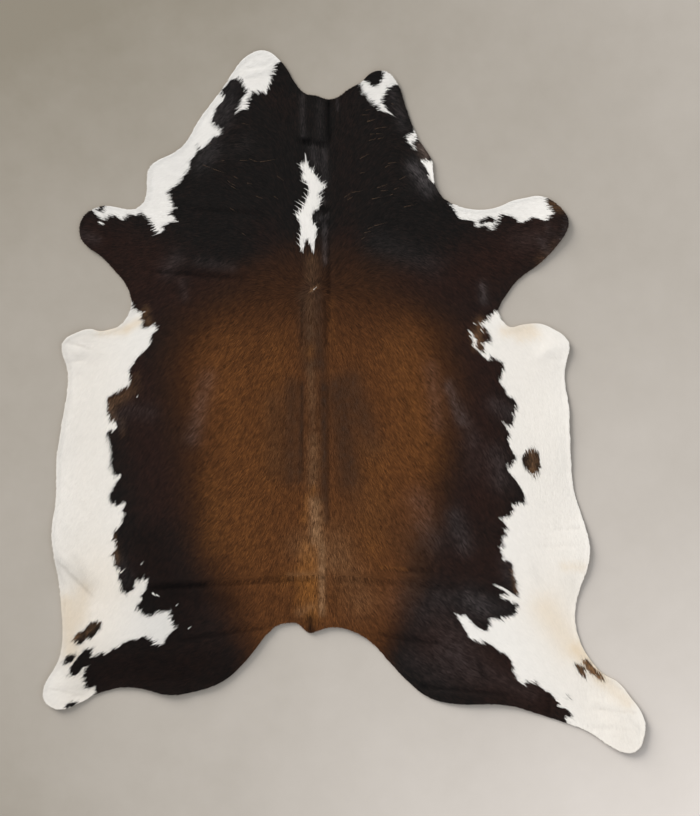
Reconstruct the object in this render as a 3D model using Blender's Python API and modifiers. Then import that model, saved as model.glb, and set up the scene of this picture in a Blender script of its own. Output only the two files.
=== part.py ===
"""Cowhide rug: one whole hide with its coat on, lying flat with the hair side up.

Metres, +Z up. The origin is on the floor at the middle of the hide's box. +Y runs up the spine
to the neck, and +X is to the right, seen from above.
"""

import math

import bmesh
import bpy
from mathutils import Vector, geometry, kdtree

MM = 0.001

# Driving sizes.
HIDE_LENGTH = 2.30  # from the tip of the longest hind shank to the tip of the ear
CM = HIDE_LENGTH / 230  # the tables are in centimetres on a hide of 230
COAT_DEPTH = 5.0 * MM  # leather and the hair that lies on it
RIM_DEPTH = 3.4 * MM  # at the trimmed edge, where the hair thins out
RIM_WIDTH = 14.0 * MM  # how far in from the edge the coat thins

# How finely the surface is divided.
STEPS_PER_LANDMARK = 4  # on the outline, between two landmarks
OPEN_SPACING = 55.0 * MM  # between points where the hide is plain
FOLD_SPACING = 30.0 * MM  # between points along a fold
RIM_CLEARANCE = 24.0 * MM  # the least from an inner point to the outline
FOLD_CLEARANCE = 9.0 * MM  # the least between points of two folds
OPEN_CLEARANCE = OPEN_SPACING * 0.55  # the least from a plain point to any other
SHOULDER_CLEARANCE = RIM_WIDTH * 0.8  # less than this is a corner too tight for a second ring
ROWS_ACROSS_FOLD = (-1.0, -0.5, 0.0, 0.5, 1.0)  # in half widths
FADE_LENGTH = 2.0  # in half widths, over which a fold rises from its ends

# The outline, clockwise from the left ear, one table for each stretch.
# Columns: across, along (centimetres from the middle of the hide's box).
OUTLINE = {
    "left ear": (
        (-35.0, 110.0),
        (-31.0, 113.8),
        (-26.0, 115.0),
        (-21.0, 111.7),
        (-18.5, 108.5),
        (-16.0, 104.0),
        (-13.0, 101.0),
    ),
    "neck notch": (
        (-9.2, 100.2),
        (-5.0, 99.0),
        (-1.8, 99.9),
        (1.5, 102.4),
        (5.0, 104.2),
    ),
    "right ear": (
        (8.7, 107.6),
        (11.8, 108.4),
        (14.7, 107.4),
        (16.7, 105.1),
        (18.4, 102.2),
        (19.6, 98.0),
    ),
    "right neck": (
        (21.5, 92.5),
        (24.5, 85.5),
        (28.5, 79.2),
        (29.5, 71.7),
        (32.0, 67.1),
        (36.0, 64.5),
    ),
    "right foreleg": (
        (40.6, 63.2),
        (46.2, 62.9),
        (51.0, 64.0),
        (55.1, 65.8),
        (59.6, 66.8),
        (63.6, 67.4),
        (67.2, 66.3),
        (70.5, 63.8),
        (73.1, 60.5),
        (73.5, 58.2),
        (72.8, 55.6),
        (70.5, 52.0),
        (64.3, 45.4),
        (57.0, 39.9),
        (53.8, 35.9),
        (51.0, 31.4),
    ),
    "right armpit": (
        (50.4, 29.2),
        (51.0, 27.7),
        (52.4, 25.8),
        (54.5, 24.4),
        (58.0, 25.1),
        (63.0, 25.6),
        (65.4, 25.2),
        (68.9, 23.5),
        (71.8, 21.7),
        (73.4, 19.5),
        (73.7, 17.5),
    ),
    "right flank": (
        (72.3, 10.7),
        (72.2, 7.2),
        (73.5, -1.1),
        (73.8, -8.4),
        (74.1, -16.5),
        (75.0, -27.4),
        (76.1, -32.3),
        (79.4, -42.5),
        (80.4, -47.4),
        (80.1, -52.7),
        (76.7, -63.2),
        (75.7, -68.2),
        (75.8, -73.4),
        (77.7, -79.6),
    ),
    "right shank": (
        (81.0, -85.1),
        (84.6, -89.1),
        (89.7, -92.0),
        (94.1, -97.3),
        (97.4, -101.9),
        (98.6, -106.0),
        (98.0, -110.4),
        (96.9, -113.4),
        (94.8, -115.0),
        (91.5, -115.0),
        (88.5, -113.7),
        (80.3, -108.4),
        (74.6, -106.0),
        (62.6, -102.2),
        (56.4, -100.2),
        (50.1, -99.3),
        (37.7, -99.3),
        (28.2, -97.3),
    ),
    "rump": (
        (20.0, -91.1),
        (15.4, -86.1),
        (7.5, -77.9),
        (2.4, -75.3),
        (-1.5, -74.2),
        (-5.6, -74.3),
        (-8.9, -75.3),
        (-11.2, -76.0),
        (-12.9, -75.0),
        (-15.1, -73.0),
        (-17.9, -72.6),
        (-21.9, -73.5),
        (-24.7, -75.5),
        (-28.6, -80.6),
        (-33.2, -86.1),
        (-39.1, -91.4),
    ),
    "left shank": (
        (-46.0, -94.3),
        (-56.8, -96.3),
        (-66.0, -94.3),
        (-71.6, -93.7),
        (-75.8, -94.3),
        (-81.4, -96.0),
        (-86.3, -98.6),
        (-93.2, -101.0),
        (-96.0, -100.2),
        (-98.3, -98.1),
        (-98.6, -94.8),
        (-97.2, -91.0),
        (-94.5, -86.8),
        (-92.9, -82.2),
    ),
    "left flank": (
        (-92.3, -74.6),
        (-92.7, -68.7),
        (-93.4, -60.5),
        (-95.5, -48.6),
        (-95.9, -44.1),
        (-95.5, -38.9),
        (-94.6, -33.3),
        (-94.3, -19.2),
        (-92.6, -7.4),
        (-90.6, 5.7),
        (-90.8, 10.3),
        (-92.6, 18.2),
        (-91.4, 20.5),
        (-88.3, 22.3),
        (-83.5, 23.8),
    ),
    "left armpit": (
        (-80.1, 23.1),
        (-77.0, 23.6),
        (-73.5, 24.9),
        (-71.2, 27.7),
        (-70.1, 30.3),
        (-69.9, 33.5),
        (-71.6, 38.2),
        (-75.5, 43.1),
    ),
    "left foreleg": (
        (-79.8, 47.6),
        (-85.7, 52.3),
        (-86.8, 56.3),
        (-85.7, 60.2),
        (-83.0, 62.6),
        (-78.9, 64.0),
        (-74.2, 63.5),
        (-69.6, 62.8),
        (-66.3, 64.6),
        (-64.8, 68.4),
        (-64.7, 73.0),
    ),
    "left neck": (
        (-64.0, 76.3),
        (-61.6, 78.6),
        (-55.2, 81.9),
        (-52.2, 84.5),
        (-47.6, 92.4),
        (-42.7, 98.9),
        (-38.8, 104.2),
    ),
}

# Folds, creases and partings. A rise lifts the leather; a fall is a parting in the coat alone.
# Columns: start across, start along, end across, end along, bow to the left, half width (all
# centimetres), height (millimetres).
FOLDS = {
    "spine parting": (-5.3, 81.0, -5.6, -72.0, 0.0, 1.3, -1.9),
    "spine welt": (-10.0, 79.0, -10.4, -72.0, 0.4, 3.4, 1.6),
    "neck slit": (-5.1, 98.6, -5.3, 85.5, 0.0, 1.1, -3.3),
    "neck tab side": (-13.6, 98.5, -13.4, 88.0, 0.3, 1.9, 3.4),
    "neck tab lip": (-14.6, 86.8, -6.8, 86.4, 0.2, 1.5, 4.2),
    "neck tab hollow": (-14.8, 84.7, -8.6, 84.5, 0.2, 1.1, -2.9),
    "mane hollow": (-8.6, 63.4, -5.6, 63.0, 0.0, 1.2, -2.4),
    "neck roll left": (-51.0, 64.4, -26.0, 63.2, 0.8, 1.8, 2.6),
    "neck roll right": (18.0, 66.0, 33.0, 70.0, 0.8, 2.2, 2.4),
    "shoulder roll left": (-63.5, 44.6, -32.0, 41.6, 0.8, 2.0, 3.2),
    "shoulder roll right": (12.0, 40.0, 40.0, 45.0, 1.0, 2.4, 2.2),
    "loin crease left": (-65.0, -59.8, -6.8, -56.5, 0.3, 1.5, 3.8),
    "loin hollow left": (-65.0, -62.0, -6.8, -58.7, 0.3, 1.0, -1.9),
    "loin crease right": (-3.4, -56.6, 50.0, -60.6, 0.4, 1.5, 3.2),
    "loin hollow right": (-3.4, -58.8, 49.0, -62.8, 0.4, 1.0, -1.7),
    "loin tuck left": (-26.5, -54.4, -18.5, -53.4, 0.2, 1.2, 2.6),
    "loin tuck right": (16.5, -52.6, 30.0, -54.4, -0.3, 1.3, 3.2),
    "rump crease left": (-54.0, -76.6, -25.0, -72.0, 0.4, 1.5, 3.4),
    "rump hollow left": (-53.0, -78.8, -27.0, -74.8, 0.4, 0.9, -1.6),
    "rump crease right": (10.6, -74.6, 32.0, -77.6, 0.3, 1.5, 3.2),
    "ham crease left": (-72.0, -91.0, -52.0, -87.6, 0.6, 1.7, 2.8),
    "ham crease right": (25.0, -94.6, 53.0, -97.0, 0.3, 1.4, 3.8),
    "ham hollow right": (25.0, -92.4, 53.0, -94.9, 0.3, 0.9, -1.9),
    "ham tuck right": (44.0, -87.2, 54.0, -88.6, 0.2, 1.4, 3.2),
    "shank roll right": (80.0, -97.0, 92.0, -104.0, 1.0, 1.9, 3.4),
    "shank second roll right": (84.0, -103.0, 92.0, -109.5, 0.8, 1.6, 2.6),
    "shank roll left": (-95.0, -92.0, -82.0, -93.4, 0.6, 1.6, 3.0),
    "flank roll left": (-90.0, 17.4, -79.0, 14.6, 0.8, 1.7, 3.2),
    "flank second roll left": (-89.0, 11.6, -81.0, 10.6, 0.5, 1.6, 2.4),
    "flank low roll left": (-92.6, -49.0, -85.6, -60.0, 1.2, 1.7, 3.0),
    "flank roll right": (62.0, 14.6, 70.6, 19.6, -0.6, 1.8, 3.0),
    "ear roll left": (-31.5, 107.0, -23.0, 108.4, 0.6, 1.4, 2.2),
    "foreleg roll left": (-83.0, 56.0, -72.0, 52.0, 1.0, 1.9, 2.6),
    "foreleg roll right": (57.0, 49.0, 69.0, 56.0, 1.0, 1.9, 2.6),
}

# Where the edge stands off the floor.
# Columns: across, along, radius (centimetres), height (millimetres).
LIFTED_EDGES = {
    "left ear": (-27.0, 116.0, 15.0, 7.0),
    "right ear": (13.0, 110.0, 13.0, 8.0),
    "right neck": (32.0, 73.0, 13.0, 5.0),
    "right foreleg": (76.0, 59.0, 18.0, 8.0),
    "right flank top": (76.0, 21.0, 15.0, 8.0),
    "right flank": (78.0, -10.0, 20.0, 5.5),
    "right flank low": (84.0, -50.0, 20.0, 8.0),
    "right shank": (99.0, -112.0, 24.0, 10.0),
    "right ham": (48.0, -103.0, 20.0, 6.0),
    "left ham": (-52.0, -99.0, 18.0, 5.5),
    "left shank": (-101.0, -99.0, 21.0, 9.0),
    "left flank low": (-99.0, -45.0, 18.0, 6.5),
    "left flank": (-97.0, -6.0, 18.0, 5.0),
    "left flank top": (-94.0, 22.0, 15.0, 8.5),
    "left foreleg": (-89.0, 57.0, 16.0, 8.0),
    "left neck": (-60.0, 83.0, 13.0, 5.0),
}

DARK_BROWN_COAT = (0.035, 0.020, 0.013, 1.0)
COAT_ROUGHNESS = 0.6


def clear_scene():
    """Removes every object that the scene starts with."""
    for old in list(bpy.data.objects):
        bpy.data.objects.remove(old, do_unlink=True)


def new_collection(name):
    """A collection of its own under the scene."""
    collection = bpy.data.collections.new(name)
    bpy.context.scene.collection.children.link(collection)
    return collection


def outline_guide(guides):
    """The outline as a smooth closed curve through the landmarks."""
    curve = bpy.data.curves.new("hide outline", "CURVE")
    curve.dimensions = "2D"
    curve.fill_mode = "NONE"
    curve.resolution_u = STEPS_PER_LANDMARK
    spline = curve.splines.new("BEZIER")
    spline.use_cyclic_u = True
    marks = [Vector(row) * CM for table in OUTLINE.values() for row in table]
    spline.bezier_points.add(len(marks) - 1)
    for point, mark in zip(spline.bezier_points, marks):
        point.co = mark.to_3d()
        point.handle_left_type = "AUTO"
        point.handle_right_type = "AUTO"
    guide = bpy.data.objects.new("hide outline", curve)
    guide.hide_render = True
    guide.display_type = "WIRE"
    guides.objects.link(guide)
    return guide


def outline_points(guide):
    """The points of the outline curve, in order, centred on their box."""
    bpy.context.view_layer.update()
    mesh = bpy.data.meshes.new_from_object(guide.evaluated_get(bpy.context.evaluated_depsgraph_get()))
    points = [v.co.to_2d() for v in mesh.vertices]
    bpy.data.meshes.remove(mesh)
    low = Vector((min(p.x for p in points), min(p.y for p in points)))
    high = Vector((max(p.x for p in points), max(p.y for p in points)))
    return [p - (low + high) / 2 for p in points]


def bump(distance, reach):
    """A soft hump: 1 at its middle, falling to exactly 0 at its reach."""
    return max(0.0, 1.0 - (distance / reach) ** 2) ** 2


class Fold:
    """A bowed line on the hide, with a width and a height."""

    def __init__(self, row):
        x0, y0, x1, y1, bow, half_width, height = row
        self.start = Vector((x0, y0)) * CM
        self.run = Vector((x1, y1)) * CM - self.start
        self.length = self.run.length
        self.side = Vector((-self.run.y, self.run.x)) / self.length
        self.bow = bow * CM
        self.half_width = half_width * CM
        self.height = height * MM

    def bow_at(self, share):
        """How far the line is bowed to its left: nothing at its ends, most at its middle."""
        return self.bow * 4 * share * (1 - share)

    def middle(self, share):
        """The point of the bowed line at a share of its length."""
        return self.start + self.run * share + self.side * self.bow_at(share)

    def height_at(self, point):
        """How much the fold raises or lowers a point, fading out at the fold's ends."""
        from_start = point - self.start
        share = from_start.dot(self.run) / self.length**2
        if share <= 0.0 or share >= 1.0:
            return 0.0
        across = from_start.dot(self.side) - self.bow_at(share)
        from_end = min(share, 1.0 - share) * self.length
        fade = min(1.0, from_end / (FADE_LENGTH * self.half_width))
        return self.height * bump(across, self.half_width) * bump(1.0 - fade, 1.0)

    def points(self):
        """Points in rows along the fold, so that the surface bends there."""
        steps = max(2, round(self.length / FOLD_SPACING))
        for step in range(steps + 1):
            for row in ROWS_ACROSS_FOLD:
                yield self.middle(step / steps) + self.side * (row * self.half_width)


FOLD_LINES = [Fold(row) for row in FOLDS.values()]


def leather_height(point):
    """The underside's height above the floor: 0 but for raised folds and lifted edges."""
    height = sum(max(0.0, fold.height_at(point)) for fold in FOLD_LINES)
    for x, y, radius, rise in LIFTED_EDGES.values():
        distance = (point - Vector((x, y)) * CM).length
        height += rise * MM * bump(distance, radius * CM)
    return height


def coat_share(point, from_rim):
    """The coat's depth as a share of its full depth: less in a parting and near the rim."""
    parting = sum(min(0.0, fold.height_at(point)) for fold in FOLD_LINES)
    thinning = (COAT_DEPTH - RIM_DEPTH) * bump(from_rim, RIM_WIDTH)
    return (COAT_DEPTH + parting - thinning) / COAT_DEPTH


def is_inside(point, ring):
    """Whether a point lies inside the closed outline."""
    inside = False
    for a, b in zip(ring, ring[1:] + ring[:1]):
        if (a.y > point.y) != (b.y > point.y):
            if point.x < a.x + (point.y - a.y) / (b.y - a.y) * (b.x - a.x):
                inside = not inside
    return inside


def nearest_tree(points):
    """A search tree over flat points."""
    tree = kdtree.KDTree(len(points))
    for index, point in enumerate(points):
        tree.insert(point.to_3d(), index)
    tree.balance()
    return tree


def open_points():
    """A staggered grid over the hide's box."""
    row_height = OPEN_SPACING * math.sqrt(3) / 2
    rows = math.ceil(HIDE_LENGTH / 2 / row_height)
    for row in range(-rows, rows + 1):
        shift = OPEN_SPACING / 2 * (row % 2)
        for column in range(-rows, rows + 1):
            yield Vector((column * OPEN_SPACING + shift, row * row_height))


def shoulder_points(ring):
    """A second ring inside the outline, where the coat reaches its full depth."""
    for before, after in zip(ring[::2], ring[2::2] + ring[:1]):
        run = after - before
        inward = Vector((run.y, -run.x)).normalized()
        yield (before + after) / 2 + inward * RIM_WIDTH


def inner_points(ring):
    """Points inside the outline: close together along the folds, further apart elsewhere."""
    rim = nearest_tree(ring)
    kept = [p for p in shoulder_points(ring) if rim.find(p.to_3d())[2] > SHOULDER_CLEARANCE]
    for gap, candidates in (
        (FOLD_CLEARANCE, [p for fold in FOLD_LINES for p in fold.points()]),
        (OPEN_CLEARANCE, list(open_points())),
    ):
        for point in candidates:
            if rim.find(point.to_3d())[2] < RIM_CLEARANCE or not is_inside(point, ring):
                continue
            if all((point - other).length >= gap for other in kept):
                kept.append(point)
    return kept


def hide_underside(ring):
    """The leather's underside as an open sheet, with the coat's depth as a vertex group."""
    edges = [(i, (i + 1) % len(ring)) for i in range(len(ring))]
    inside_only = 1
    flat, _, faces, *_ = geometry.delaunay_2d_cdt(ring + inner_points(ring), edges, [], inside_only, 1e-6)
    bm = bmesh.new()
    corners = [bm.verts.new((p.x, p.y, leather_height(p))) for p in flat]
    for face in faces:
        bm.faces.new([corners[i] for i in face])
    bmesh.ops.recalc_face_normals(bm, faces=bm.faces)
    if sum(face.normal.z for face in bm.faces) < 0:
        bmesh.ops.reverse_faces(bm, faces=bm.faces)
    mesh = bpy.data.meshes.new("hide")
    bm.to_mesh(mesh)
    bm.free()
    rim = nearest_tree(ring)
    return mesh, [coat_share(p, rim.find(p.to_3d())[2]) for p in flat]


def coat_material():
    """Short dark cow hair with a soft sheen."""
    material = bpy.data.materials.new("cow hair")
    material.use_nodes = True
    shader = material.node_tree.nodes["Principled BSDF"]
    shader.inputs["Base Color"].default_value = DARK_BROWN_COAT
    shader.inputs["Roughness"].default_value = COAT_ROUGHNESS
    shader.inputs["Metallic"].default_value = 0.0
    return material


def build_hide(rug, guides):
    """The whole hide: the open underside given the coat's depth."""
    mesh, shares = hide_underside(outline_points(outline_guide(guides)))
    mesh.materials.append(coat_material())
    hide = bpy.data.objects.new("hide", mesh)
    rug.objects.link(hide)
    depth = hide.vertex_groups.new(name="coat depth")
    for index, share in enumerate(shares):
        depth.add([index], share, "REPLACE")
    solidify = hide.modifiers.new("coat", "SOLIDIFY")
    solidify.thickness = COAT_DEPTH
    solidify.offset = 1.0
    solidify.vertex_group = depth.name
    mesh.shade_smooth()
    return hide


def main():
    clear_scene()
    rug = new_collection("cowhide rug")
    guides = new_collection("guides")
    build_hide(rug, guides)


main()
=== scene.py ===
# %% [markdown]
# # A whole cowhide, hair side up
# The real rug is one tanned skin that still carries its short hair. Nothing on it is woven or
# sewn. So there are two things to make: a thin sheet of leather that lies flat with a few soft
# folds, and the coat, which lies on it in small pointed locks. The frame holds a plain solid
# with the right outline and folds, and every new piece takes its shape from that solid.

# %% Load the frame
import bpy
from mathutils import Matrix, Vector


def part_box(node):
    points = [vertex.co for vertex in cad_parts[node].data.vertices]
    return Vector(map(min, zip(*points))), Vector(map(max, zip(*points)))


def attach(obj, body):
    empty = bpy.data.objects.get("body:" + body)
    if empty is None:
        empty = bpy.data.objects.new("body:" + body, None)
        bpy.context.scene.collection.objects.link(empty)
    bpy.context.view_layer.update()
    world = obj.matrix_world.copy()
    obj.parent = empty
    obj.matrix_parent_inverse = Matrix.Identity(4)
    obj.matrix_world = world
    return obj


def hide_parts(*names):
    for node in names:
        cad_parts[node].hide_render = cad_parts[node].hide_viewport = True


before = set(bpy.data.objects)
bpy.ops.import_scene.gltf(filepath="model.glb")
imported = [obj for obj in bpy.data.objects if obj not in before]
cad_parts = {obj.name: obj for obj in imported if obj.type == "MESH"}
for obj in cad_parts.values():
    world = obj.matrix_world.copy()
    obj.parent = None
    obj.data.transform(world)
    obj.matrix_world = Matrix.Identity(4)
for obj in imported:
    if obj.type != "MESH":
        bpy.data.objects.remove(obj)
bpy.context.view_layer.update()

# %% Tools and units
import math

import bmesh
import bpy
import numpy as np
from mathutils import Vector, geometry, kdtree
from mathutils.bvhtree import BVHTree

MM = 0.001
CM = 0.01
SEED = 20  # the same seed gives the same hairs each time
random = np.random.default_rng(SEED)
print("one millimetre in metres:", MM, " seed:", SEED)

# %% [markdown]
# ## Camera
# The rug is seen from straight above. An orthographic camera would do, but a long lens from
# high up gives much the same flat picture, and it still works when the camera goes to other
# sides.

# %% Place the camera
PICTURE_HEIGHT = 2.6774  # metres of floor from the top to the bottom of the picture
PICTURE_SHAPE = 700 / 816  # width over height
PICTURE_MIDDLE = (0.0192, -0.0213)  # metres
CAMERA_HEIGHT = 10.0  # metres
SENSOR_HEIGHT = 24.0  # millimetres

overhead = bpy.data.cameras.new("overhead camera")
overhead.sensor_fit = "VERTICAL"
overhead.sensor_height = SENSOR_HEIGHT
overhead.sensor_width = SENSOR_HEIGHT * PICTURE_SHAPE
overhead.lens = SENSOR_HEIGHT * CAMERA_HEIGHT / PICTURE_HEIGHT
camera = bpy.data.objects.new("overhead camera", overhead)
camera.location = (*PICTURE_MIDDLE, CAMERA_HEIGHT)
bpy.context.scene.collection.objects.link(camera)
bpy.context.scene.camera = camera
print("lens, millimetres:", round(overhead.lens, 1))

# %% [markdown]
# ## Light
# A low rug shows its folds only where light comes from one side. One wide lamp stands low to
# the upper left and gives every edge a short soft shadow to the lower right. An area lamp would
# be brighter near it, so this is a sun lamp, whose light is as strong at the neck as at the
# rump. A dim even sky fills the rest, and the Standard view keeps white hair white.

# %% Light the scene
SKY_COLOUR = (0.97, 0.985, 1.0, 1.0)
SKY_STRENGTH = 0.56
LAMP_FROM = Vector((-1.0, 1.0, 0.52))  # the way towards the lamp
LAMP_DISTANCE = 3.0  # a sun lamp lights the same from any distance
LAMP_WIDTH = math.radians(34)  # a wider lamp gives softer shadows
LAMP_STRENGTH = 3.36
LAMP_COLOUR = (1.0, 0.965, 0.92)

bpy.context.scene.view_settings.view_transform = "Standard"
sky = bpy.data.worlds.new("studio sky")
sky.use_nodes = True
sky.node_tree.nodes["Background"].inputs["Color"].default_value = SKY_COLOUR
sky.node_tree.nodes["Background"].inputs["Strength"].default_value = SKY_STRENGTH
bpy.context.scene.world = sky

soft_sun = bpy.data.lights.new("soft lamp", "SUN")
soft_sun.angle = LAMP_WIDTH
soft_sun.energy = LAMP_STRENGTH
soft_sun.color = LAMP_COLOUR
lamp = bpy.data.objects.new("soft lamp", soft_sun)
lamp.location = LAMP_FROM * LAMP_DISTANCE
lamp.rotation_euler = LAMP_FROM.to_track_quat("Z", "Y").to_euler()
bpy.context.scene.collection.objects.link(lamp)
height_angle = math.degrees(math.atan2(LAMP_FROM.z, LAMP_FROM.xy.length))
print("lamp above the floor, degrees:", round(height_angle))

# %% [markdown]
# ## A chart of the hide
# Where hair is white, which way it lies and how high the leather stands all change from place
# to place. They could be painted on the mesh with a brush, but a chart can be measured and
# changed in one line: a fine square raster laid over the whole hide, worked out once. Later
# pieces read it at any place, blending the four nearest cells.

# %% Lay out the chart
CELL = 3 * MM
CHART_MARGIN = 40 * MM  # past the hide on every side
BLUR_REACH = 2.5  # how many radii away a cell still counts in a blur
INSET = 1.001  # cells; keeps a place inside the last pair

hide_low, hide_high = (Vector(corner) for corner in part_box("hide"))
cell_x = np.arange(hide_low.x - CHART_MARGIN, hide_high.x + CHART_MARGIN, CELL)
cell_y = np.arange(hide_low.y - CHART_MARGIN, hide_high.y + CHART_MARGIN, CELL)
CHART_X, CHART_Y = np.meshgrid(cell_x, cell_y)
print("chart cells:", CHART_X.shape)


def read_chart(chart, x, y):
    """The chart's values at the places x, y."""
    across = np.clip((np.asarray(x) - cell_x[0]) / CELL, 0, len(cell_x) - INSET)
    along = np.clip((np.asarray(y) - cell_y[0]) / CELL, 0, len(cell_y) - INSET)
    column, row = across.astype(int), along.astype(int)
    u, v = across - column, along - row
    near = chart[row, column] * (1 - u) + chart[row, column + 1] * u
    far = chart[row + 1, column] * (1 - u) + chart[row + 1, column + 1] * u
    return near * (1 - v) + far * v


def blurred(chart, radius):
    """The chart, softened over a radius in metres."""
    reach = math.ceil(BLUR_REACH * radius / CELL)
    taps = np.exp(-0.5 * (np.arange(-reach, reach + 1) * CELL / radius) ** 2)
    taps /= taps.sum()
    for axis in (0, 1):
        wide = np.pad(chart, [(reach, reach) if way == axis else (0, 0) for way in (0, 1)], mode="edge")
        chart = np.apply_along_axis(np.convolve, axis, wide, taps, "valid")
    return chart


# %% [markdown]
# ## Outline and height, read from the solid
# The new pieces must fit the solid, so its outline and heights are not drawn again but read
# from it. Its mesh is loose triangles, so a copy is merged first. The faces that look down
# form one sheet, whose border is the hide's outline. Rays sent down and up through each cell
# then give the height of the coat and of the leather's lower side.

# %% Read the outline
REACH = 30 * MM  # distances to a border are worked out no further than this
DOWNWARD = -0.5  # a face whose normal points lower than this belongs to the lower side
SAME_POINT = 0.01 * MM
TINY = 1e-12  # stands in for the length of a line without length


def merged_copy(node):
    """A copy of a node's mesh with its loose triangles joined."""
    copy = bmesh.new()
    copy.from_mesh(bpy.data.objects[node].data)
    bmesh.ops.remove_doubles(copy, verts=copy.verts, dist=SAME_POINT)
    return copy


def border_of_lower_side(solid):
    """The corners of the lower side's border, in order, as x and y."""
    lower = {face for face in solid.faces if face.normal.z < DOWNWARD}
    following = {}
    for face in lower:
        for loop in face.loops:
            if sum(other in lower for other in loop.edge.link_faces) == 1:
                following[loop.vert] = loop.link_loop_next.vert
    start = next(iter(following))
    corners, corner = [start], following[start]
    while corner is not start:
        corners.append(corner)
        corner = following[corner]
    return np.array([corner.co.xy for corner in corners])


def distance_to_line(x, y, a, b):
    """Metres from the places x, y to the straight line from a to b."""
    way = np.subtract(b, a)
    share = ((x - a[0]) * way[0] + (y - a[1]) * way[1]) / max(way @ way, TINY)
    share = np.clip(share, 0, 1)
    return np.hypot(x - a[0] - share * way[0], y - a[1] - share * way[1])


def distance_inside(corners):
    """Metres from each cell to a closed border: positive inside it, negative outside."""
    nearest = np.full(CHART_X.shape, REACH)
    inside = np.zeros(CHART_X.shape, bool)
    for a, b in zip(corners, np.roll(corners, -1, axis=0)):
        low, high = np.minimum(a, b) - REACH, np.maximum(a, b) + REACH
        rows = slice(*np.searchsorted(cell_y, (low[1], high[1])))
        columns = slice(*np.searchsorted(cell_x, (low[0], high[0])))
        if rows.start < rows.stop and columns.start < columns.stop:
            window = (rows, columns)
            from_line = distance_to_line(CHART_X[window], CHART_Y[window], a, b)
            nearest[window] = np.minimum(nearest[window], from_line)
        crossed = (cell_y >= min(a[1], b[1])) & (cell_y < max(a[1], b[1]))
        if crossed.any():
            share = (cell_y[crossed] - a[1]) / (b[1] - a[1])
            inside[crossed] ^= cell_x < (a[0] + share * (b[0] - a[0]))[:, None]
    return np.where(inside, nearest, -nearest)


solid = merged_copy("hide")
outline = border_of_lower_side(solid)
edge_chart = distance_inside(outline)
on_hide = edge_chart > 0
print("outline corners:", len(outline), " area, square metres:", round(on_hide.sum() * CELL**2, 3))

# %% Read the heights
FACET_BLUR = 9 * MM  # softens the solid's flat facets
CURL = 2 * MM  # how far the trimmed edge of a dried hide lifts
CURL_WIDTH = 9 * MM
RAY_START = 1.0  # metres above or below the floor
LEAST_WEIGHT = 1e-4  # keeps far cells from a division by zero


def height_chart(tree, start, way):
    """The height at which a ray through each cell of the hide meets the solid."""
    heights = np.zeros(CHART_X.shape)
    for row, column in np.argwhere(on_hide):
        hit = tree.ray_cast(Vector((cell_x[column], cell_y[row], start)), Vector((0, 0, way)))[0]
        heights[row, column] = hit.z if hit else 0.0
    return heights


def spread_outward(chart):
    """The chart, softened, and carried on past the hide's edge."""
    weight = blurred(on_hide.astype(float), FACET_BLUR)
    return blurred(np.where(on_hide, chart, 0.0), FACET_BLUR) / np.maximum(weight, LEAST_WEIGHT)


tree = BVHTree.FromBMesh(solid)
edge_curl = CURL * np.exp(-((np.maximum(edge_chart, 0) / CURL_WIDTH) ** 2))
coat_height = spread_outward(height_chart(tree, RAY_START, -1)) + edge_curl
lower_height = spread_outward(height_chart(tree, -RAY_START, 1)) + edge_curl
solid.free()
print("highest coat, millimetres:", round(coat_height.max() / MM, 1))
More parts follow.
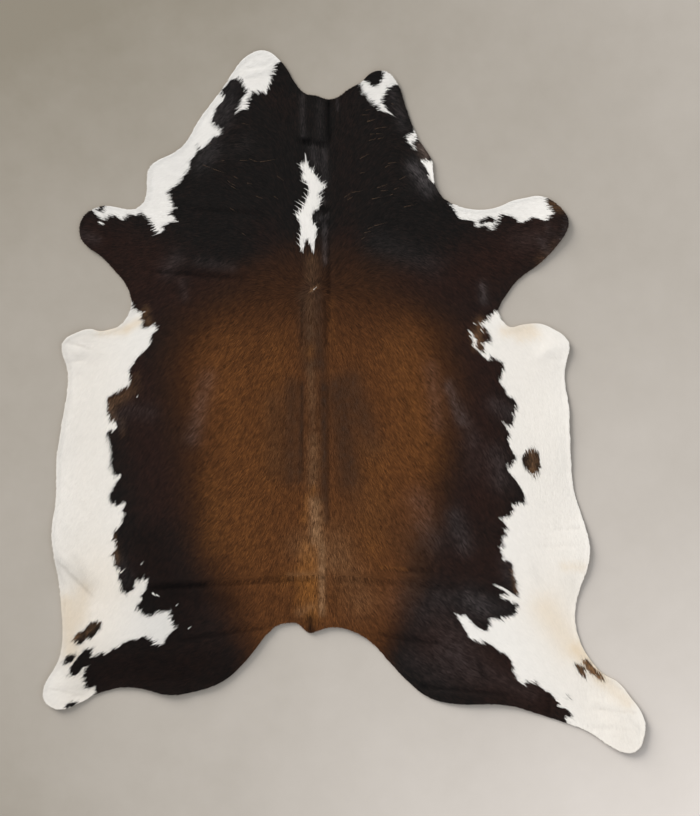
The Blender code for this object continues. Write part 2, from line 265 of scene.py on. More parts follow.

# %% [markdown]
# ## Creases
# The solid has the broad folds. The narrow creases are listed here, as on a real hide that was folded
# for transport: the slit beside the tab on the neck, the parting along the spine and the lines across
# loin, rump and legs. They could be sculpted, but as a table of lines each can be moved and its height
# set. A negative height is a trough, which dents the hair side alone. A positive one is a ridge, or a
# wide lift of an edge or a leg, which raises the lower side too. All fade out towards their ends.

# %% Press the creases
# Columns: start across, start along, end across, end along, half width (centimetres), height
# (millimetres).
DARK_AT = 7.0  # a trough this deep gets the fullest painted shade (millimetres)
CREASES = {
    "neck slit": (-5.0, 98.9, -5.1, 85.6, 0.7, -3.2),
    "tab side": (-7.6, 98.0, -7.8, 86.5, 1.1, 1.2),
    "tab hollow": (-14.0, 85.3, -10.5, 85.0, 1.0, -2.4),
    "tab lip": (-13.0, 84.0, -5.2, 84.4, 0.6, -1.6),
    "mane groove": (-5.3, 61.0, -5.3, 33.0, 0.6, -1.6),
    "spine groove": (-5.2, 33.0, -5.3, -40.0, 0.5, -0.9),
    "spine left edge": (-13.6, 33.0, -13.8, -30.0, 0.6, -0.7),
    "left shoulder": (-63.7, 43.0, -32.5, 40.2, 0.8, -1.8),
    "left shoulder ridge": (-62.0, 45.6, -33.0, 42.6, 1.2, 1.2),
    "left neck": (-50.5, 62.8, -26.0, 61.5, 0.8, -1.2),
    "left loin": (-64.5, -61.2, -42.0, -60.0, 0.9, -2.6),
    "left loin ridge": (-64.0, -58.6, -40.0, -57.8, 1.4, 1.6),
    "middle loin": (-42.0, -60.0, -6.0, -57.7, 0.5, -1.5),
    "loin tuck": (-26.0, -57.6, -19.0, -56.7, 0.5, -1.1),
    "right loin": (-3.0, -58.2, 51.0, -62.5, 0.8, -1.3),
    "right tuck": (16.7, -55.0, 29.2, -55.6, 0.5, -1.4),
    "left rump": (-53.9, -78.3, -22.7, -73.5, 0.6, -1.5),
    "right rump": (11.1, -76.3, 31.4, -79.3, 0.6, -1.5),
    "right ham": (24.2, -93.4, 52.8, -96.1, 0.7, -2.2),
    "right ham ridge": (26.0, -95.4, 52.0, -98.0, 1.0, 1.4),
    "right ham tuck": (43.9, -84.5, 46.2, -90.4, 0.9, -1.8),
    "left ham ridge": (-70.9, -92.1, -52.2, -88.8, 1.0, 1.4),
    "right shank": (66.9, -97.0, 66.9, -102.8, 0.6, -1.4),
    "left shank": (-98.1, -93.5, -83.4, -96.7, 0.4, -1.1),
    "left flank low": (-95.5, -50.5, -81.6, -64.3, 0.5, -1.1),
    "left flank low roll": (-92.0, -55.0, -83.0, -66.0, 2.2, 1.2),
    "left flank high": (-91.5, 20.2, -83.0, 17.5, 0.5, -1.3),
    "left flank second": (-91.5, 13.1, -84.5, 14.2, 0.45, -1.2),
    "right flank high": (67.0, 14.6, 72.8, 14.3, 0.35, -0.8),
    "right flank middle": (68.0, -41.5, 78.0, -41.0, 0.6, -0.9),
    "right flank low": (62.0, -47.5, 77.0, -46.5, 0.6, -0.6),
    "right foreleg lift": (59.0, 44.0, 72.0, 60.0, 6.0, 5.0),
    "left hind lift": (-76.8, -95.3, -50.6, -96.0, 4.0, 5.0),
    "rump lift": (-48.5, -95.5, -15.5, -71.8, 4.5, 6.0),
    "tail lift": (-14.0, -73.5, 12.0, -75.5, 4.0, 4.5),
    "right hind lift": (31.4, -97.9, 64.3, -101.9, 4.0, 2.0),
    "right shank upper": (80.5, -100.2, 97.5, -102.0, 0.6, -0.8),
    "right shank lower": (78.0, -106.0, 96.0, -107.5, 0.7, -0.8),
    "left ear": (-32.0, 109.5, -24.0, 110.6, 0.6, -1.1),
    "left ear second": (-33.0, 106.0, -25.5, 107.4, 0.6, -0.9),
    "right shank tip": (93.0, -103.0, 99.0, -110.0, 0.8, -1.3),
}


def tapering_mark(x1, y1, x2, y2, half_width):
    """How strongly a line marks each cell: 1 at its middle, fading to its sides and ends."""
    start, way = np.array((x1, y1)) * CM, np.array((x2 - x1, y2 - y1)) * CM
    share = ((CHART_X - start[0]) * way[0] + (CHART_Y - start[1]) * way[1]) / (way @ way)
    share = np.clip(share, 0, 1)
    from_line = distance_to_line(CHART_X, CHART_Y, start, start + way)
    return np.exp(-((from_line / (half_width * CM)) ** 2)) * (1 - (2 * share - 1) ** 4)


relief = np.zeros(CHART_X.shape)
crease_shade = np.zeros(CHART_X.shape)
for *line, half_width, height in CREASES.values():
    mark = tapering_mark(*line, half_width)
    relief += height * MM * mark
    # A trough also gets painted shade, stronger the deeper it is.
    if height < 0:
        crease_shade = np.maximum(crease_shade, mark * min(1, -height / DARK_AT))
coat_height += relief
lower_height += np.maximum(relief, 0)  # only ridges and lifts raise the lower side
print("creases:", len(CREASES), " deepest, millimetres:", round(relief.min() / MM, 1))

# %% [markdown]
# ## White patches
# A cow's patches have sharp but ragged borders, because each hair is either white or dark.
# Noise would give some other cow, so each border is a row of corner points, in centimetres
# from the middle of the hide. They were placed by hand, and many were then moved by a few
# millimetres where a test picture showed the border in the wrong place. Where a patch runs off
# the hide, its last corners lie outside the outline. From the points comes one chart: the
# distance to the nearest border, positive in white.

# %% White patches of the neck and forelegs
# Columns: across, along (centimetres).
WHITE_PATCHES = {
    "left foreleg, neck and ear": (
        (-20.6, 112), (-21.7, 110.9), (-23, 110.1), (-22.4, 109.4), (-23.2, 108.1), (-22.5, 107.5),
        (-23.7, 106.5), (-24.2, 104.5), (-25.5, 101.4), (-27.1, 101.1), (-27.9, 101.7), (-28.8, 100.9),
        (-29.4, 101.9), (-30.4, 100.9), (-30.7, 99.9), (-31.4, 99.1), (-32, 97.8), (-31.5, 96.6),
        (-32, 95.8), (-32.9, 95.6), (-33.7, 95.6), (-34.3, 95.5), (-35, 94.8), (-36, 94), (-34.8, 96),
        (-34.2, 97.3), (-33.4, 98.8), (-33.8, 99.4), (-32.7, 100.4), (-31.9, 101.2), (-31.9, 102.4),
        (-32.9, 103), (-33.5, 103.8), (-33.7, 105.5), (-34.7, 106.1), (-36.6, 105.8), (-37.6, 105.2),
        (-38.4, 103.8), (-39.6, 102.7), (-40.4, 101.6), (-40.2, 100.7), (-39.6, 99.9), (-39.4, 99.3),
        (-39.6, 98.8), (-40.1, 98.3), (-40.9, 97.3), (-42, 96.3), (-42.5, 94.3), (-43.4, 92.5),
        (-43.4, 91.5), (-42.7, 90.7), (-41.7, 90.2), (-41.1, 89.2), (-40.1, 89.9), (-40.4, 88.9),
        (-40.4, 88.1), (-40.7, 87.3), (-41.6, 86.9), (-42.7, 86.9), (-43.4, 86.1), (-44, 85.1),
        (-45, 84.2), (-46.3, 83), (-47.5, 82.7), (-48, 84.3), (-48.1, 82.5), (-48.8, 80.9),
        (-49.8, 79.7), (-50.4, 79.4), (-50.4, 77.3), (-51.1, 76.1), (-51.9, 75.3), (-50.6, 75.1),
        (-52.4, 74.2), (-53.4, 73), (-53, 72.3), (-54, 72.2), (-54.7, 71.2), (-55, 70.7), (-56.5, 70.1),
        (-57, 69.6), (-57.5, 68.9), (-57, 67.6), (-56.8, 65.8), (-56.2, 64.5), (-55.5, 63.5),
        (-56.5, 62.5), (-57.3, 61.8), (-56.2, 60.9), (-55.7, 59.9), (-55.2, 58.6), (-56, 58.9),
        (-57.1, 58.7), (-58.5, 57.9), (-59.8, 57.4), (-59.1, 56.1), (-60.1, 55.3), (-60.9, 55),
        (-62.1, 54.5), (-61.4, 55.6), (-62.9, 56.6), (-62.2, 57.3), (-62.9, 57.6), (-63.2, 58.4),
        (-64.2, 59.6), (-64.9, 60.5), (-65.5, 61), (-66.8, 62.2), (-67.6, 61.5), (-68, 60.7),
        (-69.3, 61.4), (-70.3, 61.2), (-71.6, 60.9), (-71.2, 60.4), (-72.2, 59.9), (-71.2, 58.9),
        (-72.2, 59.6), (-73.5, 59.7), (-74.2, 60.4), (-75.4, 61.2), (-76.3, 60.9), (-77.6, 60.4),
        (-79, 59.7), (-79.5, 59.4), (-78.8, 57.4), (-80.3, 58.7), (-79.9, 59.4), (-80.1, 60.5),
        (-80.9, 60.9), (-82.1, 61.8), (-82.7, 62.7), (-85, 64.5), (-85, 82.5), (-67, 112),
        (-47.3, 125.2), (-19.4, 125.2), (-19.4, 113.7),
    ),
    "right ear": (
        (5, 104.3), (5.7, 103.2), (5.7, 101.9), (7.3, 100.2), (7.7, 99.3), (9.6, 97.6), (11.4, 96.8),
        (11.3, 95.6), (12.9, 95), (14.1, 94.8), (17, 93.3), (14.6, 95.3), (12.9, 97.1), (12.1, 98.3),
        (13.1, 100.1), (13.6, 101.7), (14.7, 103.2), (15.4, 103), (16.2, 104), (17.2, 103.5),
        (20.3, 104.8), (19.6, 112), (11.8, 117), (1.9, 112), (2.6, 105.5),
    ),
    "right neck": (
        (22.4, 88.3), (21.3, 87.3), (20.6, 87.6), (20.5, 86), (21.1, 84.7), (22.1, 83.7), (22.9, 81.9),
        (22.9, 84.5), (23.4, 86.3), (25.2, 87.8), (24.2, 90.4),
    ),
    "right neck sliver": (
        (25.1, 79.1), (26.4, 77.3), (27.2, 75.8), (27.8, 74.2), (28, 72.8), (28.7, 72.2), (29.3, 71.5),
        (30.1, 72), (31.4, 72.3), (30.8, 79.1), (27.8, 79.1),
    ),
    "right foreleg": (
        (34.9, 64.3), (36.7, 61.5), (37.7, 59.9), (43.1, 59.1), (42.9, 57.1), (47.4, 57.9),
        (47.5, 55.8), (49.3, 57.7), (51.6, 61.5), (55.4, 60.4), (57.7, 58.4), (62.1, 60.4),
        (65.9, 59.1), (68.5, 61.8), (66.9, 64.3), (66.2, 66.4), (67.2, 69.4), (51.1, 71.7),
        (35.4, 68.1),
    ),
    "blaze": (
        (-12.7, 80.9), (-12, 78.7), (-11.5, 77.1), (-10.7, 75.8), (-9.9, 75), (-9.2, 74.2),
        (-8.7, 74.6), (-9.2, 73.5), (-8.4, 73), (-8.4, 72.2), (-7.3, 71.7), (-6.1, 71.5), (-5.6, 71),
        (-6.1, 70.4), (-6.8, 69.4), (-7.9, 68.4), (-8.6, 67.6), (-7.9, 67.1), (-6.9, 67.6),
        (-7.1, 66.4), (-7.8, 65.6), (-8.3, 65), (-7.8, 65), (-8.1, 64.1), (-8.4, 63.5), (-9.6, 62.8),
        (-10.2, 61.7), (-10.5, 60.5), (-10.5, 59.6), (-10.1, 58.7), (-9.2, 57.7), (-8.7, 56.4),
        (-9.1, 55), (-9.4, 54.1), (-9.4, 53.2), (-9.6, 52.2), (-9.7, 50.7), (-10, 48.5), (-10.5, 49.4),
        (-11, 51), (-11.4, 51.8), (-11.9, 52.8), (-12.2, 53), (-12.7, 52.5), (-13.2, 51.5),
        (-13.3, 50.5), (-13.7, 49.1), (-14.2, 49.3), (-14.5, 51.7), (-14.7, 52.3), (-15, 53.2),
        (-14.8, 53.2), (-14.3, 54.1), (-14.3, 55.5), (-14.5, 57.1), (-14.5, 58.6), (-15, 59.4),
        (-15.3, 59.7), (-15.6, 60.4), (-15.8, 61.2), (-15.3, 61.5), (-14.7, 62), (-15.1, 62.7),
        (-14.7, 63), (-13.8, 63.5), (-13.7, 63.8), (-13.3, 64.3), (-13.3, 64.6), (-12.7, 65.8),
        (-12.2, 67.1), (-11.7, 68.4), (-11.7, 69.7), (-11.9, 70.7), (-12.4, 71.5), (-13, 72.2),
        (-13.8, 72.7), (-14.3, 73.2), (-13.7, 73.7), (-13.8, 74.5), (-13.7, 75.1), (-13, 75),
        (-13.5, 75.8), (-14.3, 76.6), (-14.8, 77.6), (-13.8, 77.6), (-14.2, 78.1), (-13.2, 78.1),
        (-12.7, 77.8), (-12.4, 78.3), (-12.7, 79.4),
    ),
}
print("white patches:", ", ".join(WHITE_PATCHES))

# %% White patch of the left flank
# Columns: across, along (centimetres).
WHITE_PATCHES["left flank"] = (
    (-70.3, 33.8), (-69.3, 32.3), (-68.6, 29.7), (-67.5, 30.2), (-66, 29.2), (-66.3, 27.7),
    (-65.7, 26.4), (-66.3, 24.8), (-66.2, 24.1), (-64.4, 24.1), (-63.5, 24.9), (-63, 25.3),
    (-62.1, 24.8), (-61.1, 23.5), (-62.4, 22.5), (-63.4, 21.5), (-63.5, 20.3), (-63.5, 18.7),
    (-64.4, 17.6), (-65.8, 16.2), (-67, 15.4), (-68.3, 13.8), (-69, 12.3), (-69.9, 11.2),
    (-70.4, 10.2), (-70.3, 8.5), (-69.9, 6.4), (-70.1, 5.2), (-71.6, 4.8), (-73.1, 3.8),
    (-74.7, 2.8), (-76.2, 2.1), (-77.5, 1.6), (-77.6, 0.5), (-77.5, -1.8), (-77.2, -4.1),
    (-76.8, -6.2), (-75.5, -6.1), (-75, -6.7), (-74.5, -7.4), (-74.5, -8.5), (-75.4, -9.5),
    (-76.7, -9.4), (-77.3, -9.2), (-77.8, -11), (-77.3, -13.1), (-76.8, -14.9), (-76.2, -17.2),
    (-76.5, -19.5), (-77, -21), (-76, -22), (-75.7, -23.3), (-75.2, -24.4), (-74.2, -24.3),
    (-73.1, -24), (-73.5, -25.4), (-74.5, -26.2), (-75.4, -27.9), (-76.3, -29.5), (-77, -30.5),
    (-76.8, -32.5), (-76.3, -33.6), (-75, -33.6), (-74.2, -34.3), (-73.7, -33.5), (-72.4, -33.1),
    (-71.4, -33.5), (-72.2, -34.9), (-72.9, -35.8), (-72.2, -36.4), (-72.6, -36.9), (-71.7, -37.6),
    (-73.1, -38.9), (-72.4, -39.7), (-73.2, -40.8), (-74.2, -41.7), (-75.5, -42.5), (-75.5, -43.8),
    (-75.8, -45.3), (-74.9, -45.9), (-74.9, -47.2), (-74.2, -47.9), (-75.2, -48.9), (-76.5, -50),
    (-75.5, -51.3), (-75.2, -52.7), (-74.7, -54.3), (-74.4, -55.1), (-73.7, -55.1), (-73.9, -57.1),
    (-74, -58.6), (-73.2, -58.7), (-73.2, -62), (-72.2, -62.2), (-71.2, -63.2), (-70.1, -62.2),
    (-68.8, -61.5), (-69, -59.7), (-68.6, -58.6), (-68.1, -58.2), (-67, -59.4), (-66.5, -58.2),
    (-66, -57.3), (-65.5, -58.6), (-64, -57.9), (-64.7, -59.7), (-64.7, -61.4), (-65.3, -62.5),
    (-66.3, -63.2), (-66.7, -64.1), (-66, -64.8), (-66.7, -65.8), (-67.6, -66.3), (-68.3, -67.6),
    (-67.3, -68.4), (-66.3, -68.1), (-66.2, -69.7), (-64.9, -70.1), (-63.4, -70.5), (-62.6, -70.1),
    (-62.2, -69.1), (-61.6, -68.6), (-61.1, -69.4), (-59.6, -68.9), (-58.6, -68.7), (-56.8, -68.4),
    (-57, -69.4), (-56.8, -71), (-56, -73.2), (-55.8, -74), (-54.5, -73.5), (-55.2, -74.6),
    (-56.3, -75.3), (-57.3, -76.3), (-58.1, -77.4), (-58.6, -78.6), (-59.1, -79.7), (-60.3, -79.4),
    (-60.9, -79.7), (-62.1, -79.9), (-62.1, -78.3), (-63.2, -79.1), (-63.2, -78.1), (-64.7, -77.4),
    (-66, -77.1), (-67.3, -77.9), (-68.1, -78.4), (-68.8, -77.8), (-70.8, -78.6), (-73.1, -79.6),
    (-73.9, -80.6), (-74.9, -81.4), (-75.8, -81), (-76.7, -82.2), (-77.8, -82.8), (-78.6, -82.7),
    (-79.5, -81.9), (-79.6, -82.8), (-81.3, -83.2), (-81.4, -82.5), (-82.1, -83.7), (-82.7, -84),
    (-82.7, -84.8), (-83.4, -85.6), (-84, -86.8), (-85, -88.1), (-85.7, -89.7), (-85.4, -91.4),
    (-84.9, -92.4), (-85.2, -94), (-84.2, -94), (-82.9, -93.8), (-82.2, -93.5), (-81.6, -93.8),
    (-81.3, -94.8), (-81.9, -96), (-82.4, -97), (-83.4, -99.9), (-93.2, -106.1), (-104.7, -97.9),
    (-104.7, 33.3), (-73.2, 39.5),
)
print("corners of the left flank:", len(WHITE_PATCHES["left flank"]))

# %% White patch of the right flank
# Columns: across, along (centimetres).
WHITE_PATCHES["right flank"] = (
    (49.8, 29.5), (49, 28.7), (48.5, 28.7), (47.7, 28.2), (47.5, 27.7), (46.7, 26.6), (45.9, 25.9),
    (44.6, 25.4), (43.9, 25.4), (44.6, 24.9), (45.7, 24.6), (46.7, 23.8), (47.2, 23), (47.7, 21.8),
    (48, 20.7), (48.2, 19.7), (47.4, 19.4), (46.4, 19.5), (45.4, 19), (44.6, 18.7), (43.8, 19.5),
    (43.1, 20.8), (42.3, 21.8), (41.6, 23), (40.5, 23.5), (41.6, 21.7), (41.8, 20), (42.3, 19.5),
    (41.8, 18.5), (42.8, 17.4), (43.4, 17.1), (44.1, 16.4), (44.7, 15.7), (45.7, 14.4),
    (46.9, 13.8), (47.5, 14.3), (48.5, 14.6), (49.7, 14.1), (51, 13.5), (52, 12.8), (52.1, 12),
    (52.4, 11.2), (51.8, 10.7), (51.8, 9.5), (51.5, 8.2), (51.1, 7.4), (51.1, 5.9), (51.8, 4.9),
    (52.8, 4.1), (52.8, 2.8), (53.6, 1.6), (54.6, 1.3), (55.4, 1), (56.1, 0), (56.7, -1.1),
    (56.7, -2.3), (55.9, -2.3), (55.7, -4.3), (55.6, -5.7), (55.7, -6.9), (55.1, -7.7), (54.1, -8),
    (53.1, -7.4), (51.6, -6.2), (52.6, -8), (53.8, -9.7), (54.4, -11.6), (53.4, -12), (53.9, -13.3),
    (54.3, -14.8), (55.4, -17.1), (56.2, -17.7), (56.4, -18.9), (55.6, -20), (55.1, -20.5),
    (53.6, -21.5), (53.4, -22.3), (54.4, -23.8), (55.7, -25.1), (57, -26.7), (58, -28.4),
    (59, -30.4), (59.3, -31.7), (59, -32.6), (59.7, -33.3), (58.4, -33.3), (57, -33.6),
    (55.7, -34.3), (55.1, -33.6), (54.1, -33.3), (55.1, -34.6), (55.7, -35.6), (55.2, -36.6),
    (54.3, -37.2), (52.9, -37.9), (51.3, -38.1), (51, -38.6), (52, -39.2), (52.9, -40.5),
    (53.8, -41.7), (52.3, -42), (52.6, -43.1), (53.3, -43.1), (52.3, -44.5), (51.8, -45),
    (51.6, -46.1), (52.6, -46.8), (51.8, -47.7), (50.8, -47.9), (51.5, -48.9), (51.8, -50.4),
    (52.4, -51), (51, -51.3), (51.3, -52), (52.6, -52), (54.1, -52.3), (55.1, -53.3), (55.7, -55.8),
    (55.2, -56.6), (56.2, -57.9), (56.7, -61), (57.2, -64), (55.7, -63.3), (54.3, -62.3),
    (52.1, -61), (50.5, -60.2), (48.5, -59.9), (50.2, -60.9), (52.1, -61.8), (53.9, -63.5),
    (51.8, -63.7), (51.1, -64.8), (53.6, -64.8), (55.1, -66.4), (56.1, -68.2), (56.2, -69.6),
    (54.7, -70.2), (53.8, -71), (52.1, -70.7), (51.1, -71.7), (50.2, -70.9), (49.5, -70.9),
    (47.5, -71.5), (47.9, -73), (46.5, -75.5), (44.7, -74.6), (42.8, -73.5), (41.3, -71.4),
    (40.1, -70.2), (38, -70.1), (36.4, -69.4), (37.5, -71.4), (39.3, -74.6), (40.6, -76.4),
    (41.8, -78.3), (42.9, -78.1), (44.7, -79.1), (46.2, -78.6), (48.7, -80.2), (50.6, -81.9),
    (53.4, -83.2), (54.7, -85), (55.7, -87.3), (55.4, -88.4), (56.5, -90.7), (57.5, -92.2),
    (58.8, -92.9), (60.2, -91.7), (61.6, -92.4), (62.9, -91.7), (63.8, -93.3), (65.6, -94.7),
    (67.4, -95.6), (69.3, -97.8), (70.3, -98.8), (70, -100.2), (72.6, -100.6), (74.6, -102.5),
    (74.4, -103.7), (72.8, -103), (72, -103.7), (73.6, -105.7), (75.7, -117.6), (105.3, -124.2),
    (105.3, 33.3), (55.1, 34.9),
)
print("corners of the right flank:", len(WHITE_PATCHES["right flank"]))

# %% Dark spots in the white
# Columns: across, along (centimetres).
DARK_SPOTS = {
    "foreleg edge": (
        (-81.3, 62.8), (-80.3, 63.5), (-80.4, 65.1), (-78.5, 64.8), (-78.6, 63.5), (-78.6, 62.8),
        (-79.6, 62.8), (-79, 61.8), (-79.9, 62.3), (-80.6, 62.5),
    ),
    "right ear": (
        (6, 105.7), (6.5, 107.9), (8.5, 109.8), (11.8, 110.4), (12.9, 108.3), (12.7, 106.5),
        (12.3, 105.3), (11.4, 104), (10.6, 103.2), (9, 103.4), (7.8, 104.5),
    ),
    "right foreleg": (
        (44.4, 58.2), (44.6, 59.7), (45.9, 59.9), (46.7, 60.7), (48.3, 60.7), (48.7, 59.9),
        (49.8, 59.6), (49.5, 59), (47.9, 58.8), (46.5, 58.7), (45.2, 58.3),
    ),
    "flank upper tuft": (
        (43.3, 19.4), (44.4, 19.2), (45.7, 18.2), (46.4, 17.4), (45.7, 16.7), (45.1, 16.2),
        (43.8, 17.4), (42.8, 18.4),
    ),
    "right flank": (
        (58.4, -18.5), (59, -17.1), (60, -16.2), (60.5, -15.1), (61.1, -16.1), (61.5, -14.8),
        (62.1, -15.9), (62.6, -14.9), (62.9, -16.2), (63.9, -16.6), (63.9, -17.9), (64.3, -19.4),
        (64.3, -21.2), (63.9, -22.5), (64.1, -24.3), (63.3, -23.1), (62.8, -23.6), (62.5, -24.6),
        (61.5, -23.8), (61.1, -22.6), (60.8, -23.6), (59.7, -22.1), (59, -21), (58.4, -20),
    ),
    "left shank high": (
        (-89.3, -78.6), (-88.5, -77.4), (-87.5, -76), (-86.8, -75.3), (-85.7, -75.5), (-85, -74.8),
        (-84.5, -73.8), (-83.4, -72.7), (-82.4, -72.3), (-81.7, -71.7), (-81.1, -72.2), (-80.4, -72.3),
        (-79.6, -72.5), (-79.8, -73.8), (-80.1, -74.8), (-80.8, -75), (-81.4, -76.3), (-82.1, -76.9),
        (-83.1, -77.9), (-83.7, -77.4), (-84.7, -77.6), (-85.5, -78.7), (-86.2, -79.4), (-87.3, -79.6),
        (-88.3, -78.9),
    ),
    "left shank long": (
        (-90.6, -89.6), (-89.8, -88.1), (-89.8, -87.3), (-88.8, -85.8), (-88.3, -85.1), (-87.3, -83.8),
        (-86.5, -83), (-85.4, -81.5), (-84.4, -81.2), (-83.4, -81.4), (-82.4, -80.6), (-82.2, -81),
        (-83.1, -81.9), (-82.4, -82.5), (-83.1, -83.2), (-83.1, -83.8), (-82.2, -84), (-82.4, -85),
        (-83.4, -86), (-84.4, -86.8), (-86, -87.4), (-86.8, -88.8), (-87.8, -89.7), (-89.1, -90.1),
        (-89.8, -89.2),
    ),
    "left shank small": (
        (-92.2, -85.5), (-91.6, -84.2), (-90.8, -83), (-90.3, -83.3), (-89, -83.2), (-88, -82.5),
        (-87.8, -83.3), (-88.6, -84.5), (-89.6, -85.6), (-90.8, -86), (-91.8, -86.3),
    ),
    "left shank edge": (
        (-91.3, -100.2), (-90.9, -99.1), (-89.6, -98.6), (-88.8, -98.4), (-87.5, -98.6), (-88, -99.6),
        (-89.6, -100.9),
    ),
    "right shank first": (
        (75.6, -85.6), (76.9, -86.1), (78.7, -86.8), (79.5, -88.3), (78.9, -88.9), (79.5, -90.6),
        (77.9, -90.1), (76.9, -88.6), (76.1, -87.3),
    ),
    "right shank second": (
        (77.9, -84.8), (79.3, -84.4), (80.4, -85.4), (81.7, -87), (82.9, -88.4), (84.8, -89.7),
        (85.3, -91.4), (83.7, -91.1), (81.8, -89.6), (80.5, -88.6), (79.7, -87.9), (78.7, -86.3),
    ),
    "flank lower island": (
        (55.2, -66.4), (55.9, -65.9), (56.9, -66.2), (57.1, -67.1), (56.4, -67.9), (55.4, -67.5),
    ),
    "right shank dot": (
        (73.1, -96.6), (73.8, -96.6), (73.8, -97.3), (73.1, -97.3),
    ),
}
print("dark spots:", len(DARK_SPOTS))

# %% Chart the white patches


def in_metres(table):
    """A table that is given in centimetres."""
    return np.array(table) * CM


white_chart = np.full(CHART_X.shape, -REACH)
for points in WHITE_PATCHES.values():
    white_chart = np.maximum(white_chart, distance_inside(in_metres(points)))
for points in DARK_SPOTS.values():
    white_chart = np.minimum(white_chart, -distance_inside(in_metres(points)))
print("white share of the hide:", round((white_chart[on_hide] > 0).mean(), 3))

# %% [markdown]
# ## The brown saddle
# The dark coat turns brown over the back, with no sharp border: brown and black hairs mix. One
# big soft brush would lose the saddle's own shape. So rows from neck to rump give the places
# where brown starts and where it is full on each side, straight lines join the rows, and a
# blur rounds them off.

# %% Chart the saddle
# Columns: along, left start, left full, right full, right end (centimetres), strength.
SADDLE = (
    (56.3, -17.8, -10.5, -7.3, 1.9, 0),
    (51.3, -29.3, -14.5, -6.3, 11.8, 0.12),
    (46.4, -40.7, -17.8, -3, 24.9, 0.24),
    (41.5, -50.6, -19.4, 0.3, 31.4, 0.36),
    (36.6, -57.1, -21, 0.3, 34.7, 0.44),
    (31.7, -63.7, -26, 8.5, 41.3, 0.55),
    (26.7, -67, -30.9, 18.3, 43.9, 0.66),
    (21.8, -67, -35.8, 21.6, 45.2, 0.78),
    (16.9, -67.6, -39.1, 20.9, 43.9, 0.86),
    (12, -67, -41.4, 22.9, 45.2, 0.9),
    (0.5, -66.3, -40.7, 24.9, 45.9, 0.92),
    (-12.6, -63.7, -36.8, 22.9, 44.6, 0.92),
    (-25.8, -62.1, -34.8, 20.9, 40.6, 0.92),
    (-38.9, -59.8, -33.2, 22.3, 37.4, 0.94),
    (-48.1, -57.8, -30.9, 18.3, 33.4, 0.94),
    (-56.9, -53.9, -28.3, 15.7, 30.8, 0.94),
    (-65.1, -48.9, -26, 11.8, 28.2, 0.92),
    (-72.3, -44.7, -23.7, 9.1, 24.9, 0.9),
    (-83.2, -38.1, -21, 6.8, 18.3, 0.88),
)
SADDLE_BLUR = 10 * MM


def smooth_step(start, end, value):
    """0 before start, 1 past end, with a soft rise between them."""
    share = np.clip((value - start) / (end - start), 0, 1)
    return share * share * (3 - 2 * share)


def along_rows(column):
    """One column of the saddle's rows, at each cell's place along the hide."""
    rows = np.array(SADDLE)[::-1]  # from rump to neck, because interp wants rising places
    return np.interp(cell_y / CM, rows[:, 0], rows[:, column])[:, None]


left = smooth_step(along_rows(1) * CM, along_rows(2) * CM, CHART_X)
right = smooth_step(along_rows(4) * CM, along_rows(3) * CM, CHART_X)
saddle_chart = blurred(left * right * along_rows(5), SADDLE_BLUR)
print("saddle share of the hide:", round(saddle_chart[on_hide].mean(), 3))

# %% [markdown]
# ## Tints
# Smaller changes of colour are brushed on: brown in the black of shoulders, flanks and legs, gold over
# the tail end, pale and grey hair along the spine, a cool sheen, which is painted highlight where the
# hair turns to the light, painted shade in the creases, slits and grooves, which in a few places also
# darkens the hair itself, and cream at the flanks. Noise could scatter such tints, but here each has
# its own place. A stroke is a straight line with a soft round brush, and its row gives start across,
# start along, end across, end along and radius in centimetres, then its strength.

# %% Brown and gold strokes
STROKES = {}
STROKES["brown"] = (
    (-81.7, 53, -63.7, 45.8, 9.2, 0.75), (-67, 36.6, -50.6, 33.3, 11.2, 0.8),
    (-47.3, 38.2, -27.6, 41.5, 4.6, 0.6), (64.3, 54.6, 41.3, 41.5, 11.2, 0.85),
    (18.3, 38.2, 31.4, 36.6, 7.2, 0.75), (0.3, 53, 1.9, 45.8, 4.6, 0.5),
    (-26, 54.6, -19.4, 45.8, 5.9, 0.35), (-68.6, 7.1, -58.8, -32.3, 11.2, 0.85),
    (44.6, 20.2, 44.6, -32.3, 11.2, 0.9), (-63.7, -52, -50.6, -68.4, 9.8, 0.5),
    (-76.8, -89.7, -47.3, -86.5, 9.8, 0.6), (28.2, -52, 47.9, -52, 11.2, 0.7),
    (31.4, -78.3, 64.3, -96.3, 11.2, 0.8), (-42.4, -48.7, -30.9, -81.5, 9.8, 0.5),
    (0.3, 100.6, 1.9, 56.3, 5.9, 0.18), (13.4, 95.6, 16.7, 76, 6.6, 0.1),
    (-24.3, 100.6, -17.8, 95.6, 5.2, 0.2), (-35.8, 92.4, -39.1, 76, 5.2, 0.1),
)
STROKES["gold"] = (
    (-11.2, -48.1, -10.5, -69.1, 3.0, 0.95), (-14.5, -55.9, -19.7, -58.6, 3.0, 0.25),
    (-13.5, -56.9, -14.5, -65.8, 2.3, 0.35), (-10.2, -28.4, -10.2, -30.4, 1.3, 0.45),
    (-12.2, -31.7, -12.8, -39.5, 1.3, 0.45), (-38.1, 16.9, -34.2, -47.1, 9.8, 0.15),
    (19, 16.9, 24.9, -17.6, 7.9, 0.2), (11.1, -17.6, 9.1, -47.1, 5.9, 0.2),
    # The thin row from 11.8, -54.3 is a painted highlight on the upper lip of the right tuck crease.
    (11.8, -54.3, 20.6, -55.1, 0.3, 0.4), (-22.7, 20.2, -24.3, -25.8, 5.2, 0.12),
    (-4.3, 33.3, -3.7, 18.5, 1.3, 0.1), (-43.4, -25.8, -42.4, -45.4, 4.6, 0.15),
    (-11.2, 16.9, -11.2, 14.9, 2.0, 0.3),
)
print("brown strokes:", len(STROKES["brown"]), "gold strokes:", len(STROKES["gold"]))

